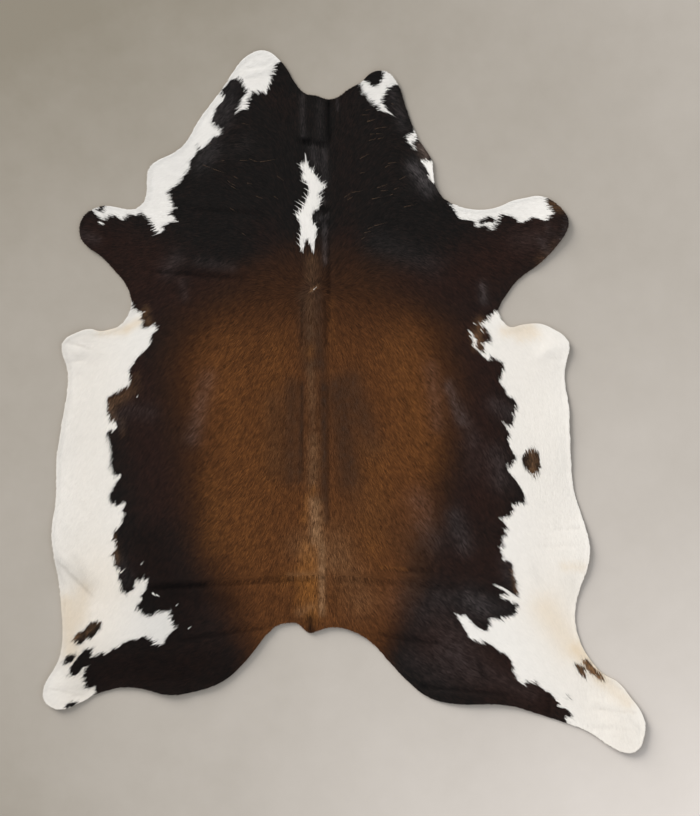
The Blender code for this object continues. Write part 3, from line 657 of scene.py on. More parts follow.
# %% Pale and grey strokes
STROKES["pale"] = (
    (-11.5, 33.3, -10.9, 20.8, 2.3, 0.12), (-10.9, 11, -10.5, 0.5, 1.6, 0.18),
    (-10.5, 0.5, -10.2, -11, 1.6, 0.1), (-10.2, -12.6, -10.2, -26.4, 2.0, 0.28),
    (-10.5, 47.1, -10.5, 40.5, 2.0, 0.15), (-9.6, -33, -9.2, -45.4, 2.1, 0.85),
    (-7.4, -47.1, -7.3, -69.1, 1.2, 0.75), (-14.5, -69.1, -10.5, -67.1, 1.6, 0.35),
    (-10.9, 36.3, -8.6, 38.2, 0.4, 1), (-17.8, -56.9, -7.3, -56.3, 1.0, 0.35),
    (-14.5, -47.1, -4.6, -52, 4.6, 0.2), (-3, -45.4, 5.2, -65.1, 5.9, 0.18),
    (78.7, -85.5, 83.9, -90.4, 1.3, 0.75), (61.6, -16.6, 62, -23.1, 2.3, 0.32),
    (44.6, 26.1, 43.3, 18.2, 1.6, 0.3), (55.7, -55.9, 56.7, -62.5, 0.9, 0.35),
    (24.9, 83.8, 26.2, 80.6, 1.3, 0.18), (76.4, -86.5, 78.7, -89.7, 1.0, 0.35),
    (-87, -76.6, -89.3, -78.6, 1.0, 0.45), (-80.8, -72.7, -85, -76.3, 1.3, 0.2),
    (-65.3, 30, -64, 26.1, 1.3, 0.3), (-76.5, -0.2, -75.8, -5.4, 1.3, 0.24),
    (-75.8, -1.1, -69, 4.4, 2.0, 0.2), (-72.9, -6.1, -72.6, -10.7, 1.0, 0.08),
    (-69.9, 7.1, -68, 8.4, 1.3, 0.12), (-76.2, -44.1, -74.5, -52, 1.3, 0.25),
    (66.9, 65.1, 70.8, 63.2, 1.3, 0.3), (64.3, 45.8, 69.5, 50.4, 2.3, 0.1),
    (44.6, 18.5, 42.3, 21.8, 1.3, 0.3),
)
STROKES["grey"] = (
    (-17.1, 5.4, -17.8, -25.1, 3.0, 0.58), (-23, 0.5, -23.3, -22.5, 3.3, 0.45),
    (-2.3, 4.4, 1.9, -25.1, 4.3, 0.66), (2.6, 7.1, 9.8, -15.3, 3.9, 0.5),
    (-12.5, 34.9, -10.9, 13, 3.0, 0.7), (-8.6, 34.9, -7.9, 13, 2.0, 0.55),
    (-10.5, 45.8, -10.5, 38.2, 2.6, 0.6), (-10.5, 15.3, -10.2, -30.7, 2.6, 0.4),
    (-6.9, 12, -6.6, -32.3, 1.3, 0.4), (5.2, -32.3, 24.9, -52, 7.2, 0.25),
    (-13.8, 5.4, -14.5, -25.8, 1.0, 0.55), (-6.9, 5.4, -6, -38.9, 1.1, 0.45),
    (23.6, -42.2, 22.3, -61.8, 3.9, 0.3),
)
print("pale strokes:", len(STROKES["pale"]), "grey strokes:", len(STROKES["grey"]))

# %% Strokes of sheen: painted highlight, and grey hair
# Most rows are painted highlight, where the hair turns to the light. The narrow rows along the middle
# of the neck, from the tab down the mane, are grey hairs, and the three thinnest, at the right foreleg,
# are the pale cut edge of the leather.
STROKES["sheen"] = (
    (-38.8, 97.3, -47.3, 77.6, 3.0, 0.3), (-42, 82.5, -45.3, 79.2, 2.6, 0.25),
    (22.9, 76.9, 27.5, 70.1, 2.6, 0.8), (73, 61.8, 72.6, 56.9, 0.3, 0.7),
    (72.6, 56.9, 69.2, 49.7, 0.3, 0.7), (69.2, 49.7, 63.6, 44.5, 0.3, 0.5),
    (64.6, 53, 67.2, 48.4, 1.3, 0.4), (66.2, 58.9, 67.5, 55, 1.0, 0.25),
    (15.4, 101.6, 19.3, 90.1, 2.0, 0.32), (24.9, 83.8, 26.2, 80.6, 1.3, 0.9),
    (-36.8, 104.2, -38.8, 92.4, 2.6, 0.22), (-13.8, 100.6, -13.5, 87.1, 1.0, 0.3),
    (-7.9, 99.3, -7.6, 86.5, 1.5, 0.18), (-6.6, 82.5, -6.3, 72, 1.3, 0.4),
    (-10.2, 83.2, -9.2, 77.6, 1.6, 0.4), (-6.6, 65.5, -7.9, 65.1, 0.8, 0.5),
    (-9.2, 60.2, -5.6, 60.5, 0.8, 0.5), (-6.4, 57.6, -6.3, 45.8, 1.0, 0.6),
    (-2.3, 99.3, -2, 95.6, 0.5, 0.35), (-44.7, 7.7, -49.6, -12, 3.0, 0.35),
    (28.2, 11, 30.5, -7.7, 2.6, 0.25), (34.1, 5.4, 38.3, -6.1, 2.0, 0.5),
    (24.2, -32.3, 28.8, -45.4, 4.3, 0.3), (34.1, -82.2, 41.9, -87.4, 5.2, 0.3),
    (20, -65.1, 38, -78.3, 7.2, 0.2), (23.2, -84.8, 31.4, -89.7, 5.2, 0.18),
    (31.4, -63.8, 51.1, -68.4, 3.9, 0.22), (47.9, -89.7, 61, -94.7, 3.9, 0.2),
    (36.4, -38.2, 39.3, -47.1, 3.3, 0.4), (41.3, -64.5, 44.6, -67.1, 3.9, 0.4),
    (45.2, 38.2, 45.6, 33.3, 1.6, 0.5), (-55.2, 46.8, -57.8, 43.1, 3.0, 0.3),
    (-47.3, 45.8, -36.8, 43.8, 2.0, 0.2), (-52.9, 39.2, -52.2, 34, 1.6, 0.22),
    (-70.9, -2.8, -63.7, -3.4, 3.0, 0.22), (49.5, -1.1, 54.4, -4.4, 3.0, 0.35),
    (49.5, -17.6, 51.1, -25.8, 3.9, 0.35), (57.7, 53, 70.8, 53, 3.9, 0.15),
    (-86, 54.6, -81.7, 53, 2.0, 0.3), (-32.5, 84.2, -35.8, 82.5, 3.3, 0.1),
    (38, -2.8, 42.9, -12.6, 2.6, 0.2), (40.6, -14.3, 42.9, -22.5, 3.3, 0.12),
    (52.8, -52, 54.4, -58.6, 2.3, 0.3), (11.8, 51.3, 28.2, 44.8, 4.6, 0.15),
    (-76.8, -2.8, -73.5, -7.7, 2.0, 0.3), (-73.5, -52, -70.9, -58.6, 2.0, 0.25),
)
print("sheen strokes:", len(STROKES["sheen"]))

# %% Strokes of painted shade and darker hair, and of cream
# Most rows are painted shade in the creases, slits and grooves. The wide rows over the left hind leg
# and rump darken hair that is darker there, and the soft rows in the white of the flanks make the white
# greyer.
STROKES["shadow"] = (
    (-5, 97.9, -4.8, 85.8, 0.7, 1), (-14.5, 85.6, -11.5, 85.5, 0.9, 0.9),
    (-11.5, 84.8, -5.3, 85, 0.4, 0.7), (-5, 59.6, -5, 26.7, 0.4, 0.55),
    (-63.7, 42.8, -32.5, 40.8, 0.6, 0.25), (-50.6, 62.8, -26, 61.5, 0.5, 0.15),
    (-64.4, -61, -45.7, -60.2, 0.7, 0.75), (-47.3, -60.2, -34.2, -59.2, 0.5, 0.3),
    (-39.1, -59.6, -27, -58.6, 0.4, 0.25), (-27, -58.6, -6.3, -57.7, 0.4, 0.35),
    (-26, -57.7, -19.1, -56.8, 0.4, 0.4), (-3, -58.2, 16.7, -59.6, 0.3, 0.2),
    (16.7, -59.6, 51.1, -62.5, 0.6, 0.12), (12.4, -55, 20.9, -55.8, 0.3, 0.55),
    (20.9, -55.6, 29.2, -55.6, 0.3, 0.3), (-53.9, -78.3, -39.1, -76.4, 0.5, 0.45),
    (-39.1, -76.4, -22.7, -73.7, 0.4, 0.3), (11.1, -76.3, 20, -78.3, 0.4, 0.35),
    (20, -78.3, 31.4, -79.2, 0.5, 0.35), (24.2, -93.3, 52.8, -96, 0.6, 0.5),
    (43.9, -84.2, 46.2, -90.7, 1.0, 0.4), (66.9, -97, 66.9, -102.9, 0.5, 0.3),
    (-63.7, -65.1, -60.4, -84.8, 9.8, 0.3), (-88.3, -56.9, -88.3, -78.3, 3.9, 0.25),
    (-7.6, 63, -5.6, 62.8, 0.9, 0.85), (-5.3, 5.4, -5.3, -38.9, 0.4, 0.4),
    (-13.8, 5.4, -13.5, -22.5, 0.4, 0.3), (-13.5, 33.3, -14.2, 18.5, 0.5, 0.35),
    (-6.3, 33.3, -6, 18.5, 0.6, 0.45), (-11.2, -71, -10.9, -75, 1.5, 0.85),
    (24.2, -47.1, 25.5, -52.7, 3.0, 0.14), (-83.4, -88.8, -40.7, -87.4, 8.5, 0.6),
    (-63.7, -47.1, -53.9, -71.7, 7.2, 0.35), (-93.2, -54, -84, -60.5, 3.3, 0.45),
    (62, -54, 63.3, -58.9, 1.3, 0.15), (73.4, -58.6, 76.7, -62.8, 2.0, 0.12),
    (-10.2, 39.2, -4.6, 38.6, 0.8, 0.4), (-57.1, -62.5, -37.5, -65.1, 2.6, 0.35),
)
STROKES["cream"] = (
    (65.9, -67.8, 74.1, -79.9, 4.9, 0.36), (76.4, -81.5, 83.9, -89.4, 2.6, 0.6),
    (84.9, -91.4, 93.1, -98.6, 2.6, 0.35), (72.1, -54, 78, -54.3, 1.6, 0.26),
    (-91.3, -66.1, -89.6, -82.2, 3.3, 0.5), (-85.4, -61.8, -86.7, -71, 3.0, 0.35),
    (-80.1, 23.1, -71.9, 23.1, 1.5, 0.4), (-70.9, 24.1, -67, 26.4, 1.5, 0.5),
    (52.8, 23.1, 61, 24.1, 2.0, 0.45), (57.7, 20.8, 62.9, 22.1, 2.0, 0.3),
    (-83.4, 20.2, -84, -52, 16.4, 0.14), (-80.1, -61.8, -86.7, -97.9, 13.1, 0.2),
    (61, 16.9, 70.8, -52, 18.0, 0.11), (70.8, -71.7, 92.1, -111.1, 14.8, 0.16),
)
print("shadow strokes:", len(STROKES["shadow"]), "cream strokes:", len(STROKES["cream"]))

# %% Brush on the tints


def brushed(strokes):
    """One chart of all the strokes, from 0 to 1."""
    bare = np.ones(CHART_X.shape)
    for x1, y1, x2, y2, radius, strength in strokes:
        from_line = distance_to_line(CHART_X, CHART_Y, (x1 * CM, y1 * CM), (x2 * CM, y2 * CM))
        bare *= 1 - strength * np.exp(-((from_line / (radius * CM)) ** 2))
    return 1 - bare


charts = {name: brushed(strokes) for name, strokes in STROKES.items()}
# The creases' painted shade joins the shadow strokes in one chart.
charts["shadow"] = 1 - (1 - charts["shadow"]) * (1 - crease_shade)
charts["white"] = white_chart
charts["saddle"] = saddle_chart
print("charts:", ", ".join(charts))

# %% [markdown]
# ## Which way the hair lies
# A coat has a flow. From a whorl behind the shoulders it runs up the neck and turns outward,
# and down over the back, flanks and legs. Blender's own hair would be combed with a brush.
# Here listed arrows give the heading, and every cell takes the mean of the arrows around it, the near
# ones counting most, so no place is left without a heading.

# %% Arrows of the coat's flow
# Columns: across, along (centimetres), heading (degrees clockwise from the neck end).
FLOW = (
    (-10, 92, 0), (-10, 79, 0), (-10, 66, 0), (-12, 51, 0), (-10, 44, 0), (0, 96, 15), (0, 79, 22),
    (0, 66, 28), (0, 53, 35), (-1, 44, 45), (10, 89, 38), (10, 76, 45), (10, 63, 55), (10, 50, 75),
    (8, 101, 60), (9, 107, 95), (16, 96, 130), (20, 89, 105), (22, 79, 140), (26, 71, 150),
    (20, 64, 95), (31, 61, 112), (31, 50, 118), (20, 50, 105), (45, 58, 105), (58, 58, 100),
    (71, 58, 98), (79, 53, 98), (45, 45, 118), (35, 38, 128), (48, 35, 135), (22, 38, 125),
    (-18, 96, 345), (-18, 79, 340), (-18, 66, 334), (-18, 53, 325), (-18, 44, 315), (-25, 102, 330),
    (-28, 91, 305), (-29, 79, 290), (-29, 66, 300), (-29, 53, 288), (-29, 43, 262), (-37, 73, 303),
    (-38, 82, 262), (-40, 96, 222), (-34, 104, 225), (-28, 109, 235), (-32, 110, 230), (-46, 81, 228),
    (-42, 89, 224), (-51, 76, 240), (-47, 68, 262), (-56, 64, 265), (-46, 55, 262), (-60, 69, 245),
    (-62, 61, 262), (-61, 56, 250), (-64, 50, 258), (-72, 60, 292), (-80, 61, 300), (-77, 53, 268),
    (-85, 56, 268), (-72, 45, 252), (-47, 45, 242), (-36, 40, 232), (-57, 37, 238), (-67, 33, 235),
    (-18, 28, 212), (-28, 27, 226), (-38, 27, 228), (-47, 25, 230), (-59, 27, 232), (-68, 27, 238),
    (-77, 20, 232), (-87, 18, 225), (-13, 24, 187), (-17, 14, 200), (-26, 14, 212), (-36, 14, 218),
    (-46, 14, 222), (-57, 14, 220), (-67, 14, 216), (-80, 7, 212), (-92, 7, 208), (-12, -6, 184),
    (-18, -6, 196), (-27, -6, 208), (-37, -6, 216), (-47, -6, 220), (-59, -6, 216), (-70, 0, 211),
    (-72, -13, 214), (-83, -9, 209), (-93, -9, 205), (-12, -26, 184), (-18, -26, 198), (-28, -26, 212),
    (-38, -26, 219), (-47, -26, 221), (-59, -26, 218), (-70, -26, 217), (-82, -32, 210),
    (-93, -32, 205), (-12, -45, 184), (-18, -45, 196), (-27, -45, 208), (-37, -45, 216),
    (-47, -45, 220), (-59, -49, 217), (-70, -49, 215), (-82, -55, 208), (-92, -55, 205),
    (-14, -65, 188), (-23, -65, 200), (-32, -67, 216), (-42, -68, 228), (-54, -68, 232),
    (-64, -64, 222), (-70, -65, 212), (-80, -68, 215), (-90, -68, 210), (-38, -78, 230),
    (-51, -82, 245), (-64, -85, 250), (-74, -88, 246), (-82, -88, 235), (-85, -78, 226),
    (-88, -85, 226), (-95, -95, 228), (-88, -98, 235), (-59, -93, 255), (-41, -86, 238),
    (-59, -73, 228), (-7, 24, 172), (-5, 28, 150), (5, 27, 140), (17, 27, 136), (28, 27, 134),
    (38, 24, 138), (45, 22, 137), (53, 18, 140), (64, 20, 142), (-7, 14, 172), (-1, 14, 160),
    (8, 14, 150), (18, 14, 144), (30, 14, 141), (41, 12, 142), (53, 9, 150), (66, 7, 158), (74, 4, 160),
    (-7, -6, 176), (-2, -6, 166), (8, -6, 154), (18, -6, 147), (28, -6, 143), (40, -6, 144),
    (51, -6, 150), (66, -9, 164), (74, -9, 165), (-7, -26, 176), (-1, -26, 163), (8, -26, 152),
    (18, -26, 145), (30, -26, 142), (41, -26, 146), (53, -26, 150), (62, -20, 167), (71, -29, 165),
    (-7, -45, 178), (-1, -47, 164), (8, -47, 152), (18, -47, 145), (30, -45, 142), (41, -45, 146),
    (51, -45, 142), (66, -49, 158), (77, -52, 160), (-8, -65, 178), (0, -65, 160), (10, -65, 148),
    (20, -65, 138), (30, -67, 130), (40, -65, 128), (51, -57, 126), (53, -64, 128), (64, -65, 150),
    (77, -68, 160), (17, -78, 140), (26, -82, 128), (36, -85, 122), (48, -88, 122), (58, -95, 122),
    (68, -100, 118), (45, -77, 130), (58, -82, 138), (71, -85, 150), (81, -91, 162), (82, -100, 160),
)
print("arrows by hand:", len(FLOW))

# %% Chart the flow of the coat
WHORL = (-9.9, 36.9)  # across, along (centimetres)
WHORL_RADII = (1.5, 4.0)  # centimetres
WHORL_ARROWS = 10
ARROW_REACH = 2.5 * CM  # keeps the nearest arrow from ruling its surroundings

arrows = list(FLOW)
for radius in WHORL_RADII:
    for heading in np.arange(WHORL_ARROWS) * 360 / WHORL_ARROWS:
        x = WHORL[0] + radius * math.sin(math.radians(heading))
        y = WHORL[1] + radius * math.cos(math.radians(heading))
        arrows.append((x, y, heading))

flow_x = np.zeros(CHART_X.shape)
flow_y = np.zeros(CHART_X.shape)
for x, y, heading in arrows:
    apart = (CHART_X - x * CM) ** 2 + (CHART_Y - y * CM) ** 2  # the square of the distance
    near = 1 / (apart + ARROW_REACH**2) ** 2
    flow_x += near * math.sin(math.radians(heading))
    flow_y += near * math.cos(math.radians(heading))
print("arrows:", len(arrows))

# %% [markdown]
# ## A short way to write shader maths
# A material's numbers travel through Math nodes. They could be added one by one, but a sum of
# ten steps is hard to read that way. The small class below wraps one socket, so that ordinary
# sums such as `1 - mask * 0.5` add the nodes. The second class holds one material and adds any
# other node: its settings come first, then the values or links of its sockets.

# %% Numbers in a material


class Value:
    """A number on its way through a material's nodes."""

    def __init__(self, finish, socket):
        self.finish = finish
        self.socket = socket

    def maths(self, operation, *others):
        """This number and others, put through one Math node."""
        node = self.finish.node("ShaderNodeMath", {"operation": operation}, [self, *others])
        return Value(self.finish, node.outputs[0])

    def __add__(self, other):
        return self.maths("ADD", other)

    __radd__ = __add__

    def __mul__(self, other):
        return self.maths("MULTIPLY", other)

    __rmul__ = __mul__

    def __sub__(self, other):
        return self.maths("SUBTRACT", other)

    def __rsub__(self, other):
        return self * -1 + other

    def __truediv__(self, other):
        return self.maths("DIVIDE", other)

    def clamped(self):
        """The number, kept between 0 and 1."""
        return self.maths("MAXIMUM", 0.0).maths("MINIMUM", 1.0)


print("sums that add nodes: + - * /")

# %% A material while it is being made


class Finish:
    """One material, its nodes and its surface shader."""

    def __init__(self, name):
        self.material = bpy.data.materials.new(name)
        self.material.use_nodes = True
        self.tree = self.material.node_tree
        self.surface = self.tree.nodes["Principled BSDF"]

    def fill(self, socket, value):
        """Link a socket, or set it to a constant."""
        if isinstance(value, Value):
            self.tree.links.new(value.socket, socket)
        elif isinstance(value, bpy.types.NodeSocket):
            self.tree.links.new(value, socket)
        else:
            socket.default_value = value

    def node(self, kind, settings, values):
        """Add a node: settings first, then its sockets, by place or by name."""
        node = self.tree.nodes.new(kind)
        for name, setting in settings.items():
            setattr(node, name, setting)
        named = values.items() if isinstance(values, dict) else enumerate(values)
        for name, value in named:
            self.fill(node.inputs[name], value)
        return node

    def place(self):
        """The place on the object, in metres."""
        return self.node("ShaderNodeTexCoord", {}, {}).outputs["Object"]

    def attribute(self, name):
        """A number that the mesh keeps under this name."""
        node = self.node("ShaderNodeAttribute", {"attribute_name": name}, {})
        return Value(self, node.outputs["Fac"])

    def noise(self, scale, detail=2.0, roughness=0.5):
        """Soft noise from 0 to 1, with about this many clouds to the metre."""
        values = {"Vector": self.place(), "Scale": scale, "Detail": detail, "Roughness": roughness}
        return Value(self, self.node("ShaderNodeTexNoise", {}, values).outputs["Fac"])

    def mix(self, share, first, second):
        """A colour between two colours."""
        values = {0: share, 6: first, 7: second}  # 6, 7 and output 2 are those for colours
        return self.node("ShaderNodeMix", {"data_type": "RGBA"}, values).outputs[2]

    def brighter(self, colour, amount):
        """A colour times a number."""
        node = self.node("ShaderNodeVectorMath", {"operation": "SCALE"}, {0: colour, 3: amount})
        return node.outputs[0]

    def bump(self, height, distance, strength):
        """Normals for a fine relief: its height from 0 to 1, times a distance in metres."""
        values = {"Height": height, "Distance": distance, "Strength": strength}
        return self.node("ShaderNodeBump", {}, values).outputs["Normal"]


def linear(red, green, blue):
    """A screen's colour, 0 to 255, as the light that a material needs, by the sRGB curve."""
    return (*(((level / 255 + 0.055) / 1.055) ** 2.4 for level in (red, green, blue)), 1.0)


print("mid grey in a material:", round(linear(128, 128, 128)[0], 3))

# %% [markdown]
# ## The coat's finish
# The same finish serves the leather's hair side and every lock. A picture could carry the
# markings, but it would blur close up. So the finish reads the charts as attributes of the
# mesh, which also keeps it in place from any side. It mixes the coat's colours one over the
# other: black, brown over the saddle, the tints, then white. A number that differs from lock
# to lock, the tone, keeps hairs apart, and noise breaks up each colour.

# %% The coat's colours
JET = linear(23, 21, 20)
BROWN_BLACK = linear(42, 26, 21)
SADDLE_DARK = linear(62, 37, 20)
SADDLE_BROWN = linear(93, 56, 28)
GOLD = linear(127, 81, 38)
PALE = linear(134, 100, 70)
GREY_BROWN = linear(58, 41, 30)
# Sheen is the colour of painted highlight, and of grey hairs on the neck.
SHEEN = linear(80, 76, 77)
TAN = linear(122, 98, 78)
WHITE = linear(252, 249, 244)
CREAM = linear(240, 218, 184)
print("saddle brown in a material:", [round(level, 3) for level in SADDLE_BROWN])

# %% Mix the dark hair
MOTTLE_SCALE = 38  # clouds to the metre
FINE_SCALE = 330
SADDLE_BY_LOCK = 0.16  # how far the saddle differs from lock to lock
SADDLE_BY_CLOUD = 0.12  # the same from cloud to cloud of the mottle
BROWN_BY_LOCK = 0.4  # and so for brown in the black
BROWN_BY_CLOUD = 0.4
STROKE_BY_LOCK = 0.9  # how far a stroke breaks up into locks
STROKE_BY_CLOUD = 1.4
STROKE_WHOLE = 0.55  # what it keeps everywhere
SHEEN_WHOLE = 0.4  # the same for sheen
SHEEN_SHARE = 0.5  # of the sheen's colour, and of its brightness
SHADOW_DEPTH = 0.85  # how dark a full shadow makes dark hair
LOCK_CONTRAST = (0.72, 0.92)  # how far locks differ in brightness, off and on the saddle
CLOUD_CONTRAST = 0.2
GRAIN_CONTRAST = (0.32, 0.56)  # off and on the saddle


def between(limits, share):
    """A number between two limits."""
    return share * (limits[1] - limits[0]) + limits[0]


def dark_hair(coat, tone, mottle, fine):
    """Black and brown hair with its tints, painted highlight and painted shade."""
    saddle = coat.attribute("saddle")
    ragged = (tone - 0.5) * SADDLE_BY_LOCK + mottle * SADDLE_BY_CLOUD
    saddle = (saddle + ragged * saddle).clamped()
    brown = coat.attribute("brown") + mottle * BROWN_BY_CLOUD + (tone - 0.5) * BROWN_BY_LOCK
    colour = coat.mix(brown.clamped(), JET, BROWN_BLACK)
    colour = coat.mix((saddle * 2).clamped(), colour, SADDLE_DARK)  # the saddle's fainter half
    colour = coat.mix((saddle * 2 - 1).clamped(), colour, SADDLE_BROWN)  # its stronger half

    broken = tone * STROKE_BY_LOCK + mottle * STROKE_BY_CLOUD + STROKE_WHOLE
    for name, tint in (("grey", GREY_BROWN), ("gold", GOLD), ("pale", PALE)):
        colour = coat.mix((coat.attribute(name) * broken).clamped(), colour, tint)
    # The sheen is painted highlight: a grey colour mixed in, and more brightness below.
    sheen = coat.attribute("sheen") * (broken - (STROKE_WHOLE - SHEEN_WHOLE))
    colour = coat.mix((sheen * SHEEN_SHARE).clamped(), colour, SHEEN)
    colour = coat.mix(coat.attribute("tan"), colour, TAN)

    by_lock = (tone - 0.5) * between(LOCK_CONTRAST, saddle)
    by_grain = fine * between(GRAIN_CONTRAST, saddle)
    colour = coat.brighter(colour, 1 + by_lock + mottle * CLOUD_CONTRAST + by_grain)
    # Painted highlight where the sheen is, and painted shade where the shadow chart is.
    lit = (1 + sheen * SHEEN_SHARE) * (1 - coat.attribute("shadow") * SHADOW_DEPTH)
    return coat.brighter(colour, lit)


print("one cloud of the mottle, millimetres:", round(1 / MOTTLE_SCALE / MM))

# %% Mix the white hair and the coat
WHITE_LEAST = 0.95  # brightness of the darkest white locks
WHITE_BY_LOCK = 0.07
WHITE_BY_CLOUD = 0.04
WHITE_BY_GRAIN = 0.04
WHITE_SHADOW = 0.3  # how dark a full shadow makes white hair
THIN_WHITE = 9 * MM  # so near a patch's border, dark hair shows between the white
FULL_TONE = 0.8  # tone of a lock that keeps its brightness there
THIN_DEPTH = 0.6  # how much darker a lock gets there, for each unit of tone below that
BORDER_BLEND = 0.6 * MM  # half the width over which white turns to dark
COAT_ROUGHNESS = 0.62
ROUGHNESS_BY_CLOUD = 0.12
COAT_GLOSS = 0.08


def white_hair(coat, tone, mottle, fine):
    """White hair, with cream where it is stained, and painted shade where the shadow chart is."""
    white = coat.mix(coat.attribute("cream"), WHITE, CREAM)
    clouded = tone * WHITE_BY_LOCK + mottle * WHITE_BY_CLOUD
    white = coat.brighter(white, WHITE_LEAST + clouded + fine * WHITE_BY_GRAIN)
    thin = (1 - coat.attribute("white") / THIN_WHITE).clamped()
    white = coat.brighter(white, 1 - thin * (FULL_TONE - tone) * THIN_DEPTH)
    return coat.brighter(white, 1 - coat.attribute("shadow") * WHITE_SHADOW)


def coat_finish():
    """The hair's colours, from the charts."""
    coat = Finish("coat")
    tone = coat.attribute("tone")
    mottle = coat.noise(MOTTLE_SCALE, 3) - 0.5
    fine = coat.noise(FINE_SCALE, 2) - 0.5
    dark = dark_hair(coat, tone, mottle, fine)
    white = white_hair(coat, tone, mottle, fine)
    is_white = (coat.attribute("white") / (2 * BORDER_BLEND) + 0.5).clamped()
    coat.fill(coat.surface.inputs["Base Color"], coat.mix(is_white, dark, white))
    coat.fill(coat.surface.inputs["Roughness"], COAT_ROUGHNESS + mottle * ROUGHNESS_BY_CLOUD)
    coat.surface.inputs["Specular IOR Level"].default_value = COAT_GLOSS
    return coat.material


coat_material = coat_finish()
print("coat nodes:", len(coat_material.node_tree.nodes))

# %% [markdown]
# ## The suede side
# The flesh side of a tanned hide is pale grey-tan suede. It is matt, softly clouded, and has a
# fine nap. Its fibres are too small to model, so it gets cloudy colour, high roughness and a
# small bump.

# %% Mix the suede
SUEDE = linear(168, 150, 128)
SUEDE_DARK = linear(140, 122, 102)
SUEDE_CLOUDS = 7  # to the metre
SUEDE_CONTRAST = 1.6  # how sharply dark suede gives way to pale
NAP_SCALE = 900
NAP_HEIGHT = 0.3 * MM
NAP_STRENGTH = 0.6
NAP_DARKEST = 0.88
NAP_CONTRAST = 0.24
SUEDE_ROUGHNESS = 0.86
ROUGHNESS_BY_NAP = 0.1
SUEDE_GLOSS = 0.2


def suede_finish():
    """The leather's flesh side."""
    suede = Finish("suede")
    clouds = suede.noise(SUEDE_CLOUDS, 4, 0.6)
    nap = suede.noise(NAP_SCALE, 3, 0.6)
    paler = ((clouds - 0.5) * SUEDE_CONTRAST + 0.5).clamped()
    colour = suede.mix(paler, SUEDE_DARK, SUEDE)
    colour = suede.brighter(colour, NAP_DARKEST + nap * NAP_CONTRAST)
    suede.fill(suede.surface.inputs["Base Color"], colour)
    suede.fill(suede.surface.inputs["Roughness"], SUEDE_ROUGHNESS + nap * ROUGHNESS_BY_NAP)
    suede.fill(suede.surface.inputs["Normal"], suede.bump(nap, NAP_HEIGHT, NAP_STRENGTH))
    suede.surface.inputs["Specular IOR Level"].default_value = SUEDE_GLOSS
    return suede.material


suede_material = suede_finish()
print("suede nodes:", len(suede_material.node_tree.nodes))

# %% [markdown]
# ## The floor
# A plain pale floor takes the soft shadow that shows how thin the rug is. Its colour holds painted
# light: it is a little paler towards the lower right, as a plaster floor is near a window. A lamp that
# fades would light the rug unevenly too, so the floor's own colour changes instead.

# %% Mix the floor's colour
FLOOR_DARK = linear(154, 146, 132)
FLOOR_PALE = linear(240, 233, 227)
EVEN_ACROSS = 1.3  # metres from the middle, past which the floor gets no paler or darker
EVEN_ALONG = 1.5  # the same along the hide
MIDDLE_SHARE = 0.365  # of the pale colour, in the middle
# Painted light: these shares make the floor paler to the right and downward.
PALER_RIGHT = 0.09  # share gained for each metre to the right, in the middle
PALER_DOWN = 0.155  # share gained for each metre down
PALER_CORNERS = 0.1  # more gain to the right, at the top and the bottom
PALER_BELOW = 0.045  # more gain to the right, in the lower half
CLOUD_SCALE = 1.6  # to the metre
CLOUD_SHARE = 0.2
TROWEL_SCALE = 7
TROWEL_SHARE = 0.12
FLOOR_ROUGHNESS = 0.9
FLOOR_GLOSS = 0.15


def held(value, limit):
    """The value, kept between minus and plus the limit."""
    return ((value / (2 * limit) + 0.5).clamped() - 0.5) * (2 * limit)


def floor_finish():
    """Plain matt plaster with faint clouds, and painted light that makes it paler to the lower right.
    """
    plain = Finish("floor")
    place = plain.node("ShaderNodeSeparateXYZ", {}, [plain.place()])
    across = held(Value(plain, place.outputs["X"]), EVEN_ACROSS)
    along = held(Value(plain, place.outputs["Y"]), EVEN_ALONG)
    clouds = plain.noise(CLOUD_SCALE, 5, 0.62) - 0.5
    trowelled = plain.noise(TROWEL_SCALE, 5, 0.6) - 0.5
    gain = along * along * PALER_CORNERS - along * PALER_BELOW + PALER_RIGHT
    slope = across * gain - along * PALER_DOWN
    share = slope + clouds * CLOUD_SHARE + trowelled * TROWEL_SHARE + MIDDLE_SHARE
    colour = plain.mix(share.clamped(), FLOOR_DARK, FLOOR_PALE)
    plain.fill(plain.surface.inputs["Base Color"], colour)
    plain.surface.inputs["Roughness"].default_value = FLOOR_ROUGHNESS
    plain.surface.inputs["Specular IOR Level"].default_value = FLOOR_GLOSS
    return plain.material


floor_material = floor_finish()
print("floor nodes:", len(floor_material.node_tree.nodes))

# %% Lay the floor
FLOOR_SIZE = 14.0  # metres
FLOOR_DROP = 0.4 * MM  # keeps the floor clear of the leather that rests on it

bpy.ops.object.select_all(action="DESELECT")
bpy.ops.mesh.primitive_plane_add(size=FLOOR_SIZE, location=(0, 0, -FLOOR_DROP))
floor = bpy.context.object
floor.name = "floor"
floor.data.materials.append(floor_material)
print("floor, metres across:", FLOOR_SIZE)

# %% [markdown]
# ## The leather
# The skin is cut like the real one: flat, along the outline. Cloth simulation could lay it
# down, but the solid already says where it lies. So points on a square grid fill the outline,
# a triangulation joins them to it, and a Solidify modifier gives the sheet its thickness upward
# from the lower side, a little less at the trimmed edge. The coat lies on it, so its top is
# lower than the solid's top by the depth of the coat.

# %% Cut the leather
GRID = 8 * MM
EDGE_ROOM = 4.5 * MM  # from the outline to the nearest grid point
HAIR_DEPTH = 0.8 * MM  # the lying coat on top of the skin
LEAST_LEATHER = 1.2 * MM  # under a deep crease
WELD = 1e-7  # metres within which the triangulation joins two points


def leather_top(x, y):
    """The height of the skin's hair side."""
    lowest = read_chart(lower_height, x, y) + LEAST_LEATHER
    return np.maximum(read_chart(coat_height, x, y) - HAIR_DEPTH, lowest)


